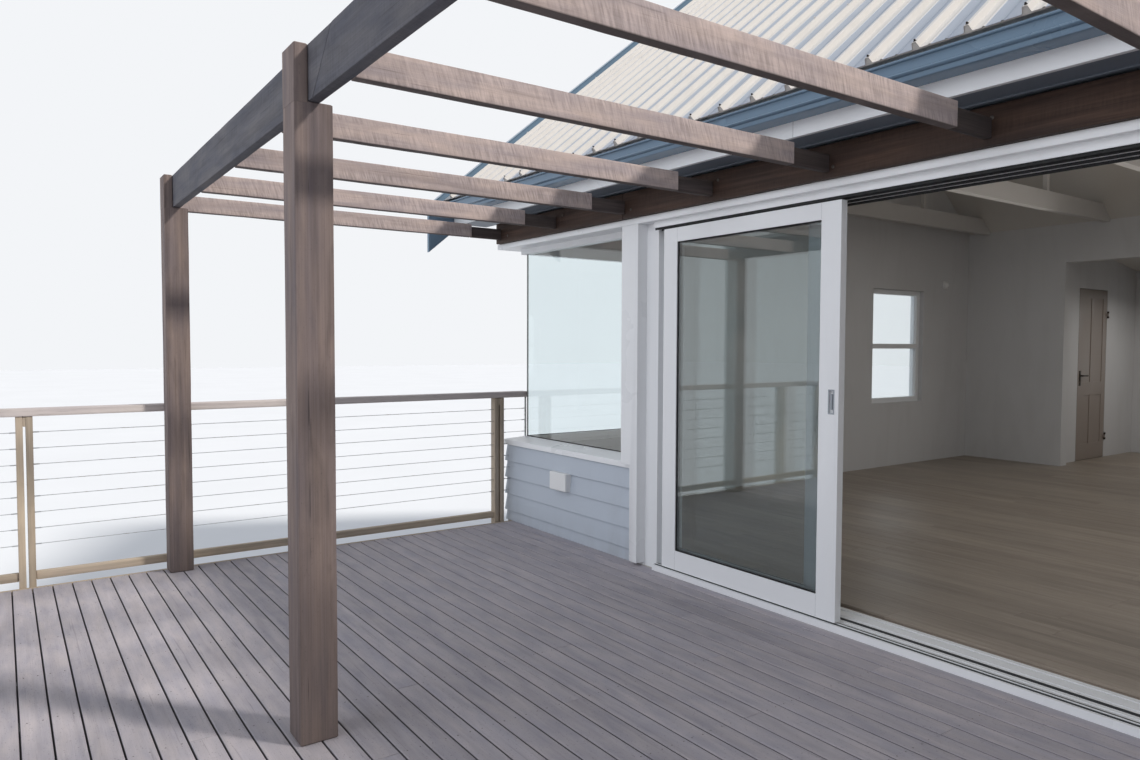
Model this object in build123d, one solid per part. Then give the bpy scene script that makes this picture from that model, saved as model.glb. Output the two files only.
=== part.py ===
"""Beach house: a gabled timber house on a raised base, with a sea-side deck and pergola.

Millimetres, +Z up. The origin lies at ground level under the middle of the front wall,
on that wall's centre line. +X runs along the front wall, to the right for someone who
faces it from the sea, and +Y runs from the sea side into the house. Names that end in
_height are levels above the deck. Names that end in _place are distances along X or Y.
"""
from build123d import *
import math
import os

# Levels
deck_top = 1050.0
floor_height = 40.0
sill_top_height = 677.0
wall_head_height = 2200.0

# House body
house_length = 8580.0
wall_thickness = 150.0
room_depth = 6405.0
back_room_depth = 2000.0
base_ledge = 50.0
floor_thickness = 220.0

# Roof
roof_pitch = 39.5
low_roof_pitch = 8.0
sheet_edge_reach = 395.0
sheet_edge_rise = 360.0
sheet_thickness = 8.0
rib_pitch = 209.0
rib_height = 26.0
rib_crest = 24.0
rib_foot = 62.0
roof_frame_depth = 150.0
lining_thickness = 12.0
verge_overhang = 385.0
fascia_reach = 298.0
fascia_thickness = 25.0
fascia_rise = 170.0
soffit_rise = 180.0
soffit_thickness = 12.0
gutter_width = 117.0
gutter_rise = 243.0
rear_gutter_rise = 208.0
gutter_depth = 90.0
gutter_wall = 5.0
barge_thickness = 32.0
barge_foot_reach = 521.0
barge_foot_drop = 60.0
barge_rise = 40.0
barge_cap_thickness = 6.0
barge_cap_width = 58.0
flashing_wing = 170.0
flashing_thickness = 8.0
sheet_ridge_gap = 12.0
sheet_break_gap = 25.0
fascia_drop = 15.0

# Sliding doors
door_frame_width = 5196.0
door_jamb_width = 113.0
jamb_front = -65.0
frame_front = -105.0
frame_back = 165.0
sill_back = 170.0
door_sill_thickness = 35.0
door_head_thickness = 38.0
sill_groove_places = (-29.0, 54.0, 135.0)
sill_groove_width = 12.0
sill_groove_depth = 10.0
leaf_overlap = 65.0
leaf_thickness = 45.0
leaf_front = -92.0
leaf_bottom_height = 42.0
leaf_top_gap = 16.0
leaf_stile = 117.0
leaf_bottom_rail = 117.0
leaf_top_rail = 85.0
leaf_parked_gap = 77.0
track_rail_width = 8.0
track_rail_height = 3.0
runner_width = 10.0
runner_length = 70.0
runner_inset = 160.0
runner_gap = 0.3
leaf_glass = 24.0
fixed_leaf_front = -10.0
fixed_leaf_extra = 15.0
pull_inset = 42.0
pull_width = 44.0
pull_bottom_height = 1064.0
pull_length = 129.0
pull_rim = 6.0
pull_pocket_depth = 14.0

# Corner windows
trim_reach = 64.0
end_trim_reach = 58.0
lower_trim_width = 73.0
upper_trim_width = 162.0
trim_foot_height = 20.0
head_trim_thickness = 39.0
window_head_thickness = 41.0
glass_inset = 109.0
glass_thickness = 12.0
glass_joint = 2.0
side_pane_length = 1400.0
window_head_front = 0.0
end_trim_width = 93.0
sill_thickness = 70.0
sill_nose = 25.0
sill_fall = 30.0

# Sash windows
sash_width = 975.0
sash_sill_height = 760.0
sash_head_height = 2050.0
sash_frame_width = 55.0
sash_frame_depth = 70.0
sash_recess = 30.0
sash_glass_thickness = 6.0
end_sash_from_back = 1458.0
back_sash_place = 2150.0

# Inside
opening_from_end = 1125.0
opening_width = 2400.0
opening_head_rise = 160.0
hall_wall_set_back = 90.0
hall_wall_thickness = 90.0
hall_door_from_wall = 430.0
hall_door_width = 750.0
hall_door_head_height = 2100.0
hall_door_thickness = 38.0
hall_door_gap = 6.0
hall_door_stile = 105.0
hall_door_bottom_rail = 190.0
hall_door_lock_rail_height = 900.0
hall_door_lock_rail = 160.0
hall_door_mullion = 90.0
hall_door_panel_depth = 7.0
hinge_plate_width = 36.0
hinge_radius = 7.0
hinge_stand = 13.0
hinge_heights = (300.0, 1800.0)
hinge_middle = 36.0
hinge_outer = 24.0
hinge_gap = 0.3
tie_count = 7
tie_from_end = 225.0
tie_width = 70.0
tie_depth = 180.0
tie_rise = 560.0
strut_from_wall = 1380.0
strut_size = 45.0

# Deck
deck_inset = 90.0
deck_front = 3970.0
deck_wall_gap = 5.0
deck_board_thickness = 32.0
joist_count = 18
joist_width = 45.0
joist_depth = 140.0
bearer_width = 90.0
bearer_depth = 140.0
bearer_places = (-3750.0, -2060.0, -370.0)
pile_size = 125.0
pile_count = 5
pile_inset = 260.0
edge_board_thickness = 31.0
edge_board_depth = 185.0

# Pergola
post_size = 135.0
post_front = 2590.0
post_inset = 44.0
post_spacing = 2627.0
horn_thickness = 49.0
beam_thickness = 45.0
beam_rise = 28.0
beam_depth = 192.0
beam_overrun = 20.0
scarf_from_post = 41.5
scarf_run = 195.0
scarf_line = 3.0
scarf_line_depth = 8.0
rafter_count = 12
rafter_post_gap = 1.5
rafter_width = 45.0
rafter_depth = 101.0
rafter_stop = 430.0
rafter_end_gap = 4.0
cleat_width = 35.0
cleat_depth = 82.0
tenon_width = 18.0
tenon_depth = 50.0
ledger_front = 170.0
ledger_depth = 161.0
ledger_overrun = 27.0

# Balustrade
rail_top_height = 1030.0
rail_thickness = 45.0
rail_width = 105.0
rail_past_bar = 12.0
rail_reach = 98.0
upright_width = 36.0
upright_depth = 65.0
upright_gap = 12.0
upright_drop = 180.0
first_pair_place = -188.0
pair_spacing = 1561.5
corner_pair_inset = 60.0
front_bay_count = 5
low_rail_bottom_height = 35.0
low_rail_thickness = 48.0
low_rail_width = 40.0
wire_count = 8
wire_bottom_height = 241.0
wire_spacing = 93.0
wire_diameter = 4.0
wire_sides = 8
end_bar_place = 70.0
end_bar_width = 12.0
spacer_height = 60.0

# Outlet box on the low wall
outlet_from_corner = 690.0
outlet_width = 205.0
outlet_bottom_height = 351.0
outlet_height = 132.0
outlet_depth = 60.0

# Worked out from the sizes above
sheet_edge_height = wall_head_height + sheet_edge_rise
fascia_bottom_height = wall_head_height + fascia_rise
soffit_height = wall_head_height + soffit_rise
gutter_bottom_height = wall_head_height + gutter_rise
rear_gutter_bottom_height = wall_head_height + rear_gutter_rise
barge_foot_height = wall_head_height - barge_foot_drop
opening_head_height = wall_head_height + opening_head_rise
tie_bottom_height = wall_head_height + tie_rise
beam_bottom_height = wall_head_height + beam_rise
trim_bottom_height = wall_head_height - head_trim_thickness
glass_head_height = trim_bottom_height - window_head_thickness
door_head_bottom_height = trim_bottom_height - door_head_thickness
leaf_top_height = door_head_bottom_height - leaf_top_gap
slope = math.tan(math.radians(roof_pitch))
stretch = 1 / math.cos(math.radians(roof_pitch))
low_slope = math.tan(math.radians(low_roof_pitch))
low_stretch = 1 / math.cos(math.radians(low_roof_pitch))
half_length = house_length / 2
inner_end = half_length - wall_thickness
front_face = -wall_thickness / 2
front_inner = wall_thickness / 2
back_inner = front_inner + room_depth
back_face = back_inner + wall_thickness
rear_inner = back_face + back_room_depth
rear_face = rear_inner + wall_thickness
ridge_place = (front_face + back_face) / 2
end_sash_place = back_inner - end_sash_from_back
hall_door_near = back_face + hall_door_from_wall
hall_door_far = hall_door_near + hall_door_width
frame_under = sheet_thickness + roof_frame_depth
lining_under = frame_under + lining_thickness
verge_outer = half_length + verge_overhang
verge_inner = verge_outer - barge_thickness
floor_under = floor_height - floor_thickness
sill_bottom_height = sill_top_height - sill_thickness
sill_edge_height = sill_top_height - sill_fall
sill_front = front_face - sill_nose
sill_end = half_length + sill_nose
door_half = door_frame_width / 2
jamb_inner = door_half - door_jamb_width
lower_trim_outer = door_half + lower_trim_width
upper_trim_outer = door_half + upper_trim_width
trim_front = front_face - trim_reach
trim_end = half_length + end_trim_reach
glass_front = front_face + glass_inset
glass_end = half_length - glass_inset
side_pane_end = glass_front + side_pane_length
fascia_front = front_face - fascia_reach
fascia_back = fascia_front + fascia_thickness
rear_fascia_face = rear_face + fascia_reach
leaf_width = (jamb_inner + leaf_overlap) / 2
leaf_far_edge = jamb_inner - leaf_parked_gap
leaf_parked_edge = leaf_far_edge - leaf_width
fixed_leaf_edge = jamb_inner - leaf_width - fixed_leaf_extra
pull_place = leaf_parked_edge + pull_inset
track_place = leaf_front + leaf_thickness / 2
half_deck = half_length - deck_inset
post_outer_place = half_deck - post_inset
post_inner_place = post_outer_place - post_spacing
rafter_end_place = post_outer_place + (post_size + rafter_width) / 2 + rafter_post_gap
beam_half_length = rafter_end_place + rafter_width / 2 + beam_overrun
scarf_bottom_place = post_inner_place - post_size / 2 - scarf_from_post
scarf_top_place = scarf_bottom_place - scarf_run
ledger_half_length = half_length + ledger_overrun
rail_outer = half_deck + edge_board_thickness + rail_reach
rail_front = deck_front + edge_board_thickness + rail_reach
beam_front = -post_front + horn_thickness
beam_back = beam_front + beam_thickness
opening_left_place = opening_from_end - inner_end
opening_right_place = opening_left_place + opening_width
hall_wall_face = opening_left_place - hall_wall_set_back
tie_spacing = 2 * (inner_end - tie_from_end) / (tie_count - 1)
hinge_plate_face = hall_wall_face + hinge_stand - hinge_radius / 2
tie_places = [(index - (tie_count - 1) / 2) * tie_spacing for index in range(tie_count)]
side_places = [first_pair_place - index * pair_spacing for index in range(3)]
side_places.append(corner_pair_inset - deck_front)
front_bay = 2 * (half_deck - corner_pair_inset) / front_bay_count
front_places = [corner_pair_inset - half_deck + index * front_bay for index in range(front_bay_count + 1)]


def level(height):
    """A level above the deck, as a height above the ground."""
    return deck_top + height


def roof_top(y):
    """The upper side of the roof sheets without their ribs, at a distance y."""
    edge = level(sheet_edge_height)
    from_front = y - front_face + sheet_edge_reach
    from_back = back_face - y + sheet_edge_reach
    return edge + slope * min(from_front, from_back)


def low_roof_top(y):
    """The same for the low roof at the back, which starts over the back wall."""
    return roof_top(back_face) - low_slope * (y - back_face)


def roof_layer(y, depth):
    """The main roof at a depth square to its upper side."""
    return roof_top(y) - depth * stretch


def low_layer(y, depth):
    """The low roof at a depth, kept in line with the main roof over the back wall."""
    return low_roof_top(y) - depth * stretch


def block(x0, x1, y0, y1, z0, z1):
    """A plain box between two corners."""
    return Pos((x0 + x1) / 2, (y0 + y1) / 2, (z0 + z1) / 2) * Box(x1 - x0, y1 - y0, z1 - z0)


def along_x(outline, x0, x1):
    """An outline of (y, z) points, run along X."""
    plane = Plane(origin=(x0, 0, 0), x_dir=(0, 1, 0), z_dir=(1, 0, 0))
    face = make_face(Polyline(*outline, close=True))
    return extrude(plane * face, x1 - x0)


def along_y(outline, y0, y1):
    """An outline of (x, z) points, run along Y."""
    plane = Plane(origin=(0, y0, 0), x_dir=(1, 0, 0), z_dir=(0, -1, 0))
    face = make_face(Polyline(*outline, close=True))
    return extrude(plane * face, y0 - y1)


def mirrored(piece):
    """The piece's twin over the middle of the house."""
    return mirror(piece, about=Plane.YZ)


def both_sides(*pieces):
    """The pieces and their twins."""
    return list(pieces) + [mirrored(piece) for piece in pieces]


def save(name, *pieces):
    """Write one named sub-part, of one or more solids."""
    solids = [solid for piece in pieces for solid in piece.solids()]
    shape = solids[0] if len(solids) == 1 else Compound(children=solids)
    shape.label = name
    export_step(shape, f"parts/{name}.step")


# Base and floor

def base_walls():
    """A ring of walls with a ledge inside that carries the floor."""
    ledge_end = inner_end - base_ledge
    under = level(floor_under)
    ring = block(-half_length, half_length, front_face, rear_face, 0, deck_top)
    ring -= block(-ledge_end, ledge_end, front_inner + base_ledge, rear_inner - base_ledge, 0, under)
    return ring - block(-inner_end, inner_end, front_inner, rear_inner, under, deck_top)


def floor():
    slab = block(-inner_end, inner_end, front_inner, rear_inner, level(floor_under), level(floor_height))
    return slab - block(-door_half, door_half, front_inner, sill_back, deck_top, level(floor_height))


# Outer walls

def low_walls():
    """The clad walls under the corner windows, turning the corner."""
    top = level(sill_bottom_height)
    front = block(-half_length, -lower_trim_outer, front_face, front_inner, deck_top, top)
    side = block(-half_length, -inner_end, front_inner, side_pane_end, deck_top, top)
    return both_sides(front + side)


def sash_hole_in_end(y):
    half = sash_width / 2
    low, top = level(sash_sill_height), level(sash_head_height)
    return block(-half_length, -inner_end, y - half, y + half, low, top)


def sash_hole_in_rear(x):
    half = sash_width / 2
    low, top = level(sash_sill_height), level(sash_head_height)
    return block(x - half, x + half, rear_inner, rear_face, low, top)


def end_walls():
    wall = block(-half_length, -inner_end, side_pane_end, rear_face, deck_top, level(wall_head_height))
    return both_sides(wall - sash_hole_in_end(end_sash_place))


def rear_wall():
    wall = block(-inner_end, inner_end, rear_inner, rear_face, deck_top, level(wall_head_height))
    for x in (-back_sash_place, back_sash_place):
        wall -= sash_hole_in_rear(x)
    return wall


def upper_walls():
    """The walls' upper ring, from wall-head level up to the roof frame."""
    low = level(wall_head_height)
    gable = [(front_face, low), (rear_face, low),
             (rear_face, low_layer(rear_face, frame_under)),
             (back_face, roof_layer(back_face, frame_under)),
             (ridge_place, roof_layer(ridge_place, frame_under)),
             (front_face, roof_layer(front_face, frame_under))]
    front = [(front_face, low), (front_inner, low),
             (front_inner, roof_layer(front_inner, frame_under)),
             (front_face, roof_layer(front_face, frame_under))]
    rear = [(rear_inner, low), (rear_face, low),
            (rear_face, low_layer(rear_face, frame_under)),
            (rear_inner, low_layer(rear_inner, frame_under))]
    ends = along_x(gable, -half_length, -inner_end) + along_x(gable, inner_end, half_length)
    return ends + along_x(front, -inner_end, inner_end) + along_x(rear, -inner_end, inner_end)


# Inner walls

def inner_wall():
    """The wall between the room and the hall, with a wide opening."""
    outline = [(back_inner, level(floor_height)), (back_face, level(floor_height)),
               (back_face, roof_layer(back_face, frame_under)),
               (back_inner, roof_layer(back_inner, frame_under))]
    opening = block(opening_left_place, opening_right_place, back_inner, back_face,
                    level(floor_height), level(opening_head_height))
    return along_x(outline, -inner_end, inner_end) - opening


def hall_wall_sides():
    """The hall's side wall, before and beyond its doorway."""
    far_face = hall_wall_face - hall_wall_thickness
    low = level(floor_height)
    top = level(hall_door_head_height)
    before = block(far_face, hall_wall_face, back_face, hall_door_near, low, top)
    beyond = block(far_face, hall_wall_face, hall_door_far, rear_inner, low, top)
    return [before, beyond]


def hall_wall_head():
    low = level(hall_door_head_height)
    outline = [(back_face, low), (rear_inner, low),
               (rear_inner, low_layer(rear_inner, lining_under)),
               (back_face, low_layer(back_face, lining_under))]
    return along_x(outline, hall_wall_face - hall_wall_thickness, hall_wall_face)


def hinge_knuckle(low, high):
    place = (hall_wall_face + hinge_stand, hall_door_far - hinge_radius, (low + high) / 2)
    return Pos(*place) * Cylinder(hinge_radius, high - low)


def hall_door():
    """A four-panel door with the turning halves of its two hinges."""
    near = hall_door_near + hall_door_gap
    far = hall_door_far - hall_door_gap
    low = level(floor_height + hall_door_gap)
    top = level(hall_door_head_height - hall_door_gap)
    back = hall_wall_face - hall_door_thickness
    door = block(back, hall_wall_face, near, far, low, top)
    middle = (near + far) / 2
    half_mullion = hall_door_mullion / 2
    lock_low = level(hall_door_lock_rail_height) - hall_door_lock_rail / 2
    lock_top = lock_low + hall_door_lock_rail
    columns = ((near + hall_door_stile, middle - half_mullion),
               (middle + half_mullion, far - hall_door_stile))
    rows = ((low + hall_door_bottom_rail, lock_low), (lock_top, top - hall_door_stile))
    for y0, y1 in columns:
        for z0, z1 in rows:
            door -= block(hall_wall_face - hall_door_panel_depth, hall_wall_face, y0, y1, z0, z1)
            door -= block(back, back + hall_door_panel_depth, y0, y1, z0, z1)
    for height in hinge_heights:
        z0, z1 = level(height - hinge_middle / 2), level(height + hinge_middle / 2)
        plate = block(hall_wall_face, hinge_plate_face, far - hinge_plate_width, far, z0, z1)
        door = door + plate + hinge_knuckle(z0, z1)
    return door


def hall_door_hinges():
    """The fixed halves of the hinges, on the wall beyond the door."""
    pieces = []
    start = hinge_middle / 2 + hinge_gap
    end = start + hinge_outer
    for height in hinge_heights:
        for low, high in ((height - end, height - start), (height + start, height + end)):
            z0, z1 = level(low), level(high)
            plate = block(hall_wall_face, hinge_plate_face,
                          hall_door_far, hall_door_far + hinge_plate_width, z0, z1)
            bridge = block(hinge_plate_face - hinge_radius / 2, hinge_plate_face,
                           hall_door_far - hinge_radius, hall_door_far, z0, z1)
            pieces.append(plate + bridge + hinge_knuckle(z0, z1))
    return pieces


# Roof

def roof_frame():
    """The main roof's two slopes and the low roof, as one bent slab."""
    end = rear_fascia_face - fascia_thickness
    upper = sheet_thickness
    outline = [(fascia_back, roof_layer(fascia_back, frame_under)),
               (fascia_back, roof_layer(fascia_back, upper)),
               (ridge_place, roof_layer(ridge_place, upper)),
               (back_face, roof_layer(back_face, upper)),
               (end, low_layer(end, upper)),
               (end, low_layer(end, frame_under)),
               (back_face, roof_layer(back_face, frame_under)),
               (ridge_place, roof_layer(ridge_place, frame_under))]
    return along_x(outline, -verge_inner, verge_inner)


def sheet_outline():
    """Points (x, up) of the ribbed sheets, from one verge to the other."""
    count = int(2 * verge_inner // rib_pitch)
    start = -(count - 1) * rib_pitch / 2
    points = [(-verge_inner, -sheet_thickness), (-verge_inner, 0)]
    for index in range(count):
        x = start + index * rib_pitch
        points += [(x - rib_foot / 2, 0), (x - rib_crest / 2, rib_height),
                   (x + rib_crest / 2, rib_height), (x + rib_foot / 2, 0)]
    points += [(verge_inner, 0), (verge_inner, -sheet_thickness)]
    return points


def ribbed_sheets(low_y, low_z, high_y, high_z):
    """Ribbed sheets between a low and a high edge, given on their flat upper side."""
    run = Vector(0, high_y - low_y, high_z - low_z)
    facing = 1 if high_y > low_y else -1
    plane = Plane(origin=(0, high_y, high_z), x_dir=(1, 0, 0), z_dir=-facing * run.normalized())
    face = make_face(Polyline(*sheet_outline(), close=True))
    return extrude(plane * face, facing * run.length)


def front_sheets():
    low = front_face - sheet_edge_reach
    high = ridge_place - sheet_ridge_gap
    return ribbed_sheets(low, roof_top(low), high, roof_top(high))


def back_sheets():
    low = back_face - sheet_break_gap
    high = ridge_place + sheet_ridge_gap
    return ribbed_sheets(low, roof_top(low), high, roof_top(high))


def low_sheet_top(y):
    return low_layer(y, sheet_thickness) + sheet_thickness * low_stretch


def low_sheets():
    low = rear_face + sheet_edge_reach
    high = back_face + sheet_break_gap
    return ribbed_sheets(low, low_sheet_top(low), high, low_sheet_top(high))


def over_break(y, depth):
    """A layer over both roofs near the break in pitch, a depth below their upper sides."""
    if y > back_face:
        return low_sheet_top(y) - depth * low_stretch
    return roof_layer(y, depth)


def ridge_cap():
    places = (ridge_place - flashing_wing, ridge_place, ridge_place + flashing_wing)
    under = [(y, roof_layer(y, -rib_height)) for y in places]
    over = [(y, roof_layer(y, -rib_height - flashing_thickness)) for y in reversed(places)]
    return along_x(under + over, -verge_inner, verge_inner)


def break_flashing():
    """The bent strip over the ribs where the low roof starts."""
    places = (back_face - flashing_wing, back_face, back_face + flashing_wing)
    under = [(y, over_break(y, -rib_height)) for y in places]
    over = [(y, over_break(y, -rib_height - flashing_thickness)) for y in reversed(places)]
    return along_x(under + over, -verge_inner, verge_inner)


def ceilings():
    """The lining under the main roof, and the lining under the low roof."""
    places = (front_inner, ridge_place, back_inner)
    outline = [(y, roof_layer(y, lining_under)) for y in places]
    outline += [(y, roof_layer(y, frame_under)) for y in reversed(places)]
    low = [(back_face, low_layer(back_face, lining_under)),
           (rear_inner, low_layer(rear_inner, lining_under)),
           (rear_inner, low_layer(rear_inner, frame_under)),
           (back_face, low_layer(back_face, frame_under))]
    return [along_x(outline, -inner_end, inner_end), along_x(low, -inner_end, inner_end)]


def verge_line():
    """Points along a verge: foot, ridge, break in pitch and foot of the low roof."""
    foot = front_face - barge_foot_reach
    tail = rear_face + barge_foot_reach
    return [(foot, roof_top(foot)), (ridge_place, roof_top(ridge_place)),
            (back_face, roof_top(back_face)), (tail, low_roof_top(tail))]


def barge_boards():
    """Deep boards along the verges, over the sheets' edges and down past the eaves."""
    foot = front_face - barge_foot_reach
    hang = roof_top(foot) - level(barge_foot_height)
    over = [(y, z + barge_rise * stretch) for y, z in verge_line()]
    under = [(y, z - hang) for y, z in reversed(verge_line())]
    return both_sides(along_x(over + under, -verge_outer, -verge_inner))


def barge_caps():
    """Folded caps along the upper edges of the barge boards."""
    under = [(y, z + barge_rise * stretch) for y, z in verge_line()]
    over = [(y, z + barge_cap_thickness * stretch) for y, z in reversed(under)]
    outer = -verge_outer - barge_cap_thickness
    return both_sides(along_x(under + over, outer, outer + barge_cap_width))


def fascia_front_board():
    bottom = level(fascia_bottom_height)
    outline = [(fascia_front, bottom), (fascia_back, bottom),
               (fascia_back, roof_layer(fascia_back, sheet_thickness)),
               (fascia_front, roof_layer(fascia_front, sheet_thickness))]
    return along_x(outline, -verge_inner, verge_inner)


def fascia_rear_board():
    inner = rear_fascia_face - fascia_thickness
    bottom = low_layer(inner, frame_under) - fascia_drop
    outline = [(inner, bottom), (rear_fascia_face, bottom),
               (rear_fascia_face, low_layer(rear_fascia_face, sheet_thickness)),
               (inner, low_layer(inner, sheet_thickness))]
    return along_x(outline, -verge_inner, verge_inner)


def soffit():
    """The soffit, with panels that close the boxed eave beyond the end walls."""
    low = level(soffit_height)
    inner = front_face - soffit_thickness
    board = block(-verge_inner, verge_inner, fascia_back, front_face, low, low + soffit_thickness)
    outline = [(inner, low), (front_face, low),
               (front_face, roof_layer(front_face, frame_under)),
               (inner, roof_layer(inner, frame_under))]
    left = along_x(outline, -verge_inner, -half_length)
    return board + left + mirrored(left)


def gutter(inner, outer, bottom):
    """A square gutter with closed ends, open at the top."""
    y0, y1 = min(inner, outer), max(inner, outer)
    wall = gutter_wall
    trough = block(-verge_inner, verge_inner, y0, y1, bottom, bottom + gutter_depth)
    inside = block(-verge_inner + wall, verge_inner - wall, y0 + wall, y1 - wall,
                   bottom + wall, bottom + gutter_depth)
    return trough - inside


def gutter_front():
    return gutter(fascia_front, fascia_front - gutter_width, level(gutter_bottom_height))


def gutter_rear():
    return gutter(rear_fascia_face, rear_fascia_face + gutter_width, level(rear_gutter_bottom_height))


def tie_beams():
    """Ties across the room, their upper corners cut to the slope of the ceiling."""
    bottom = level(tie_bottom_height)
    top = bottom + tie_depth
    seat = roof_layer(front_inner, lining_under)
    cut = (top - seat) / slope
    outline = [(front_inner, bottom), (back_inner, bottom), (back_inner, seat),
               (back_inner - cut, top), (front_inner + cut, top), (front_inner, seat)]
    half = tie_width / 2
    return [along_x(outline, x - half, x + half) for x in tie_places]


def tie_struts():
    """Short struts between the ties and the sloping ceiling."""
    low = level(tie_bottom_height + tie_depth)
    half = strut_size / 2
    struts = []
    for y in (front_inner + strut_from_wall, back_inner - strut_from_wall):
        outline = [(y - half, low), (y + half, low),
                   (y + half, roof_layer(y + half, lining_under)),
                   (y - half, roof_layer(y - half, lining_under))]
        struts += [along_x(outline, x - half, x + half) for x in tie_places]
    return struts


# Corner windows and trim

def sill_line(y):
    """Height of the sill's top in front of the glass, falling towards its nose."""
    return level(sill_top_height) - sill_fall * (glass_front - y) / (glass_front - sill_front)


def window_sill():
    """A sill that turns the corner and slopes away from both panes, with a hip between."""
    low = level(sill_bottom_height)
    edge = level(sill_edge_height)
    top = level(sill_top_height)
    front = block(-sill_end, -lower_trim_outer, sill_front, front_inner, low, top)
    side = block(-sill_end, -inner_end, front_inner, side_pane_end, low, top)
    front_slope = along_x([(sill_front, edge), (glass_front, top), (sill_front, top)],
                          -sill_end, -lower_trim_outer)
    side_slope = along_y([(-sill_end, edge), (-glass_end, top), (-sill_end, top)],
                         sill_front, side_pane_end)
    return front + side - front_slope - side_slope


def corner_glass():
    """Two panes at each corner, butted together without a frame."""
    low = level(sill_top_height)
    top = level(glass_head_height)
    behind = glass_front + glass_thickness
    front = block(-glass_end, -upper_trim_outer, glass_front, behind, low, top)
    side = block(-glass_end, -glass_end + glass_thickness, behind + glass_joint, side_pane_end, low, top)
    return both_sides(front, side)


def trim_posts():
    """Posts beside the doors, wider above the sills, and boards behind the side panes."""
    top = level(trim_bottom_height)
    foot = level(trim_foot_height)
    low = block(-lower_trim_outer, -door_half, front_face, front_inner, deck_top, top)
    board = block(-lower_trim_outer, -door_half, trim_front, front_face, foot, top)
    sill_top = level(sill_top_height)
    outline = [(trim_front, sill_line(trim_front)), (glass_front, sill_top), (front_inner, sill_top),
               (front_inner, top), (trim_front, top)]
    upper = along_x(outline, -upper_trim_outer, -lower_trim_outer)
    end = block(-trim_end, -half_length, side_pane_end, side_pane_end + end_trim_width, foot, top)
    return both_sides(low + board + upper, end)


def head_trim():
    """The stepped head over doors and windows, turning both corners."""
    low = level(trim_bottom_height)
    top = level(wall_head_height)
    glass_head = level(glass_head_height)
    inner_face = window_head_front - half_length + wall_thickness / 2
    head = block(-trim_end, trim_end, trim_front, front_inner, low, top)
    side = block(-trim_end, -inner_end, front_inner, side_pane_end, low, top)
    tail = block(-trim_end, -half_length, side_pane_end, side_pane_end + end_trim_width, low, top)
    step = block(inner_face, -upper_trim_outer, window_head_front, front_inner, glass_head, low)
    side_step = block(inner_face, -inner_end, front_inner, side_pane_end, glass_head, low)
    corner = side + tail + step + side_step
    return head + corner + mirrored(corner)


# Sliding doors

def door_frame():
    """Jambs and head, and a sill with three tracks."""
    top = level(trim_bottom_height)
    sill_top = deck_top + door_sill_thickness
    jamb = block(-door_half, -jamb_inner, jamb_front, frame_back, deck_top, top)
    head = block(-jamb_inner, jamb_inner, frame_front, frame_back, level(door_head_bottom_height), top)
    sill = block(-jamb_inner, jamb_inner, frame_front, sill_back, deck_top, sill_top)
    half = sill_groove_width / 2
    for y in sill_groove_places:
        sill -= block(-jamb_inner, jamb_inner, y - half, y + half, sill_top - sill_groove_depth, sill_top)
    half = track_rail_width / 2
    rail = block(-jamb_inner, jamb_inner, track_place - half, track_place + half,
                 sill_top, sill_top + track_rail_height)
    return jamb + mirrored(jamb) + head + sill + rail


def leaf_frame(x0, x1, front, low, top):
    """A leaf's frame, and the size of the glass that fills it."""
    back = front + leaf_thickness
    hole = (x0 + leaf_stile, x1 - leaf_stile, low + leaf_bottom_rail, top - leaf_top_rail)
    frame = block(x0, x1, front, back, low, top)
    return frame - block(hole[0], hole[1], front, back, hole[2], hole[3]), hole


def leaf_pane(hole, front):
    inset = (leaf_thickness - leaf_glass) / 2
    return block(hole[0], hole[1], front + inset, front + inset + leaf_glass, hole[2], hole[3])


def pull_pocket(depth):
    half = pull_width / 2 - pull_rim
    low = level(pull_bottom_height) + pull_rim
    top = level(pull_bottom_height) + pull_length - pull_rim
    return block(-pull_place - half, -pull_place + half, leaf_front, leaf_front + depth, low, top)


def sliding_leaf():
    """The left sliding leaf, parked open, with its runners and the pocket for its pull."""
    frame, hole = leaf_frame(-leaf_far_edge, -leaf_parked_edge, leaf_front,
                             level(leaf_bottom_height), level(leaf_top_height))
    low = deck_top + door_sill_thickness + track_rail_height + runner_gap
    half = runner_width / 2
    for x in (-leaf_far_edge + runner_inset, -leaf_parked_edge - runner_inset):
        frame = frame + block(x - runner_length / 2, x + runner_length / 2, track_place - half,
                              track_place + half, low, level(leaf_bottom_height))
    return frame - pull_pocket(pull_pocket_depth), hole


def fixed_leaf():
    return leaf_frame(-jamb_inner, -fixed_leaf_edge, fixed_leaf_front,
                      deck_top + door_sill_thickness, level(door_head_bottom_height))


# Sash windows

def sash_parts(place):
    """A frame with a meeting rail and its two panes, built in an end wall."""
    half = sash_width / 2
    low = level(sash_sill_height)
    top = level(sash_head_height)
    outer = -half_length + sash_recess
    inner = outer + sash_frame_depth
    glass = outer + (sash_frame_depth - sash_glass_thickness) / 2
    edge = sash_frame_width
    middle = (low + top) / 2
    frame = block(outer, inner, place - half, place + half, low, top)
    panes = []
    for z0, z1 in ((low + edge, middle - edge / 2), (middle + edge / 2, top - edge)):
        frame -= block(outer, inner, place - half + edge, place + half - edge, z0, z1)
        panes.append(block(glass, glass + sash_glass_thickness,
                           place - half + edge, place + half - edge, z0, z1))
    return frame, panes


def turned_to_rear(piece, x):
    """A piece made in the left end wall at y = 0, moved into the rear wall at x."""
    return Pos(x, rear_face - half_length, 0) * Rot(0, 0, -90) * piece


def sashes():
    end_frame, end_panes = sash_parts(end_sash_place)
    frames = both_sides(end_frame)
    panes = both_sides(*end_panes)
    for x in (-back_sash_place, back_sash_place):
        frame, glass = sash_parts(0)
        frames.append(turned_to_rear(frame, x))
        panes += [turned_to_rear(pane, x) for pane in glass]
    return frames, panes


# Deck

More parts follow.
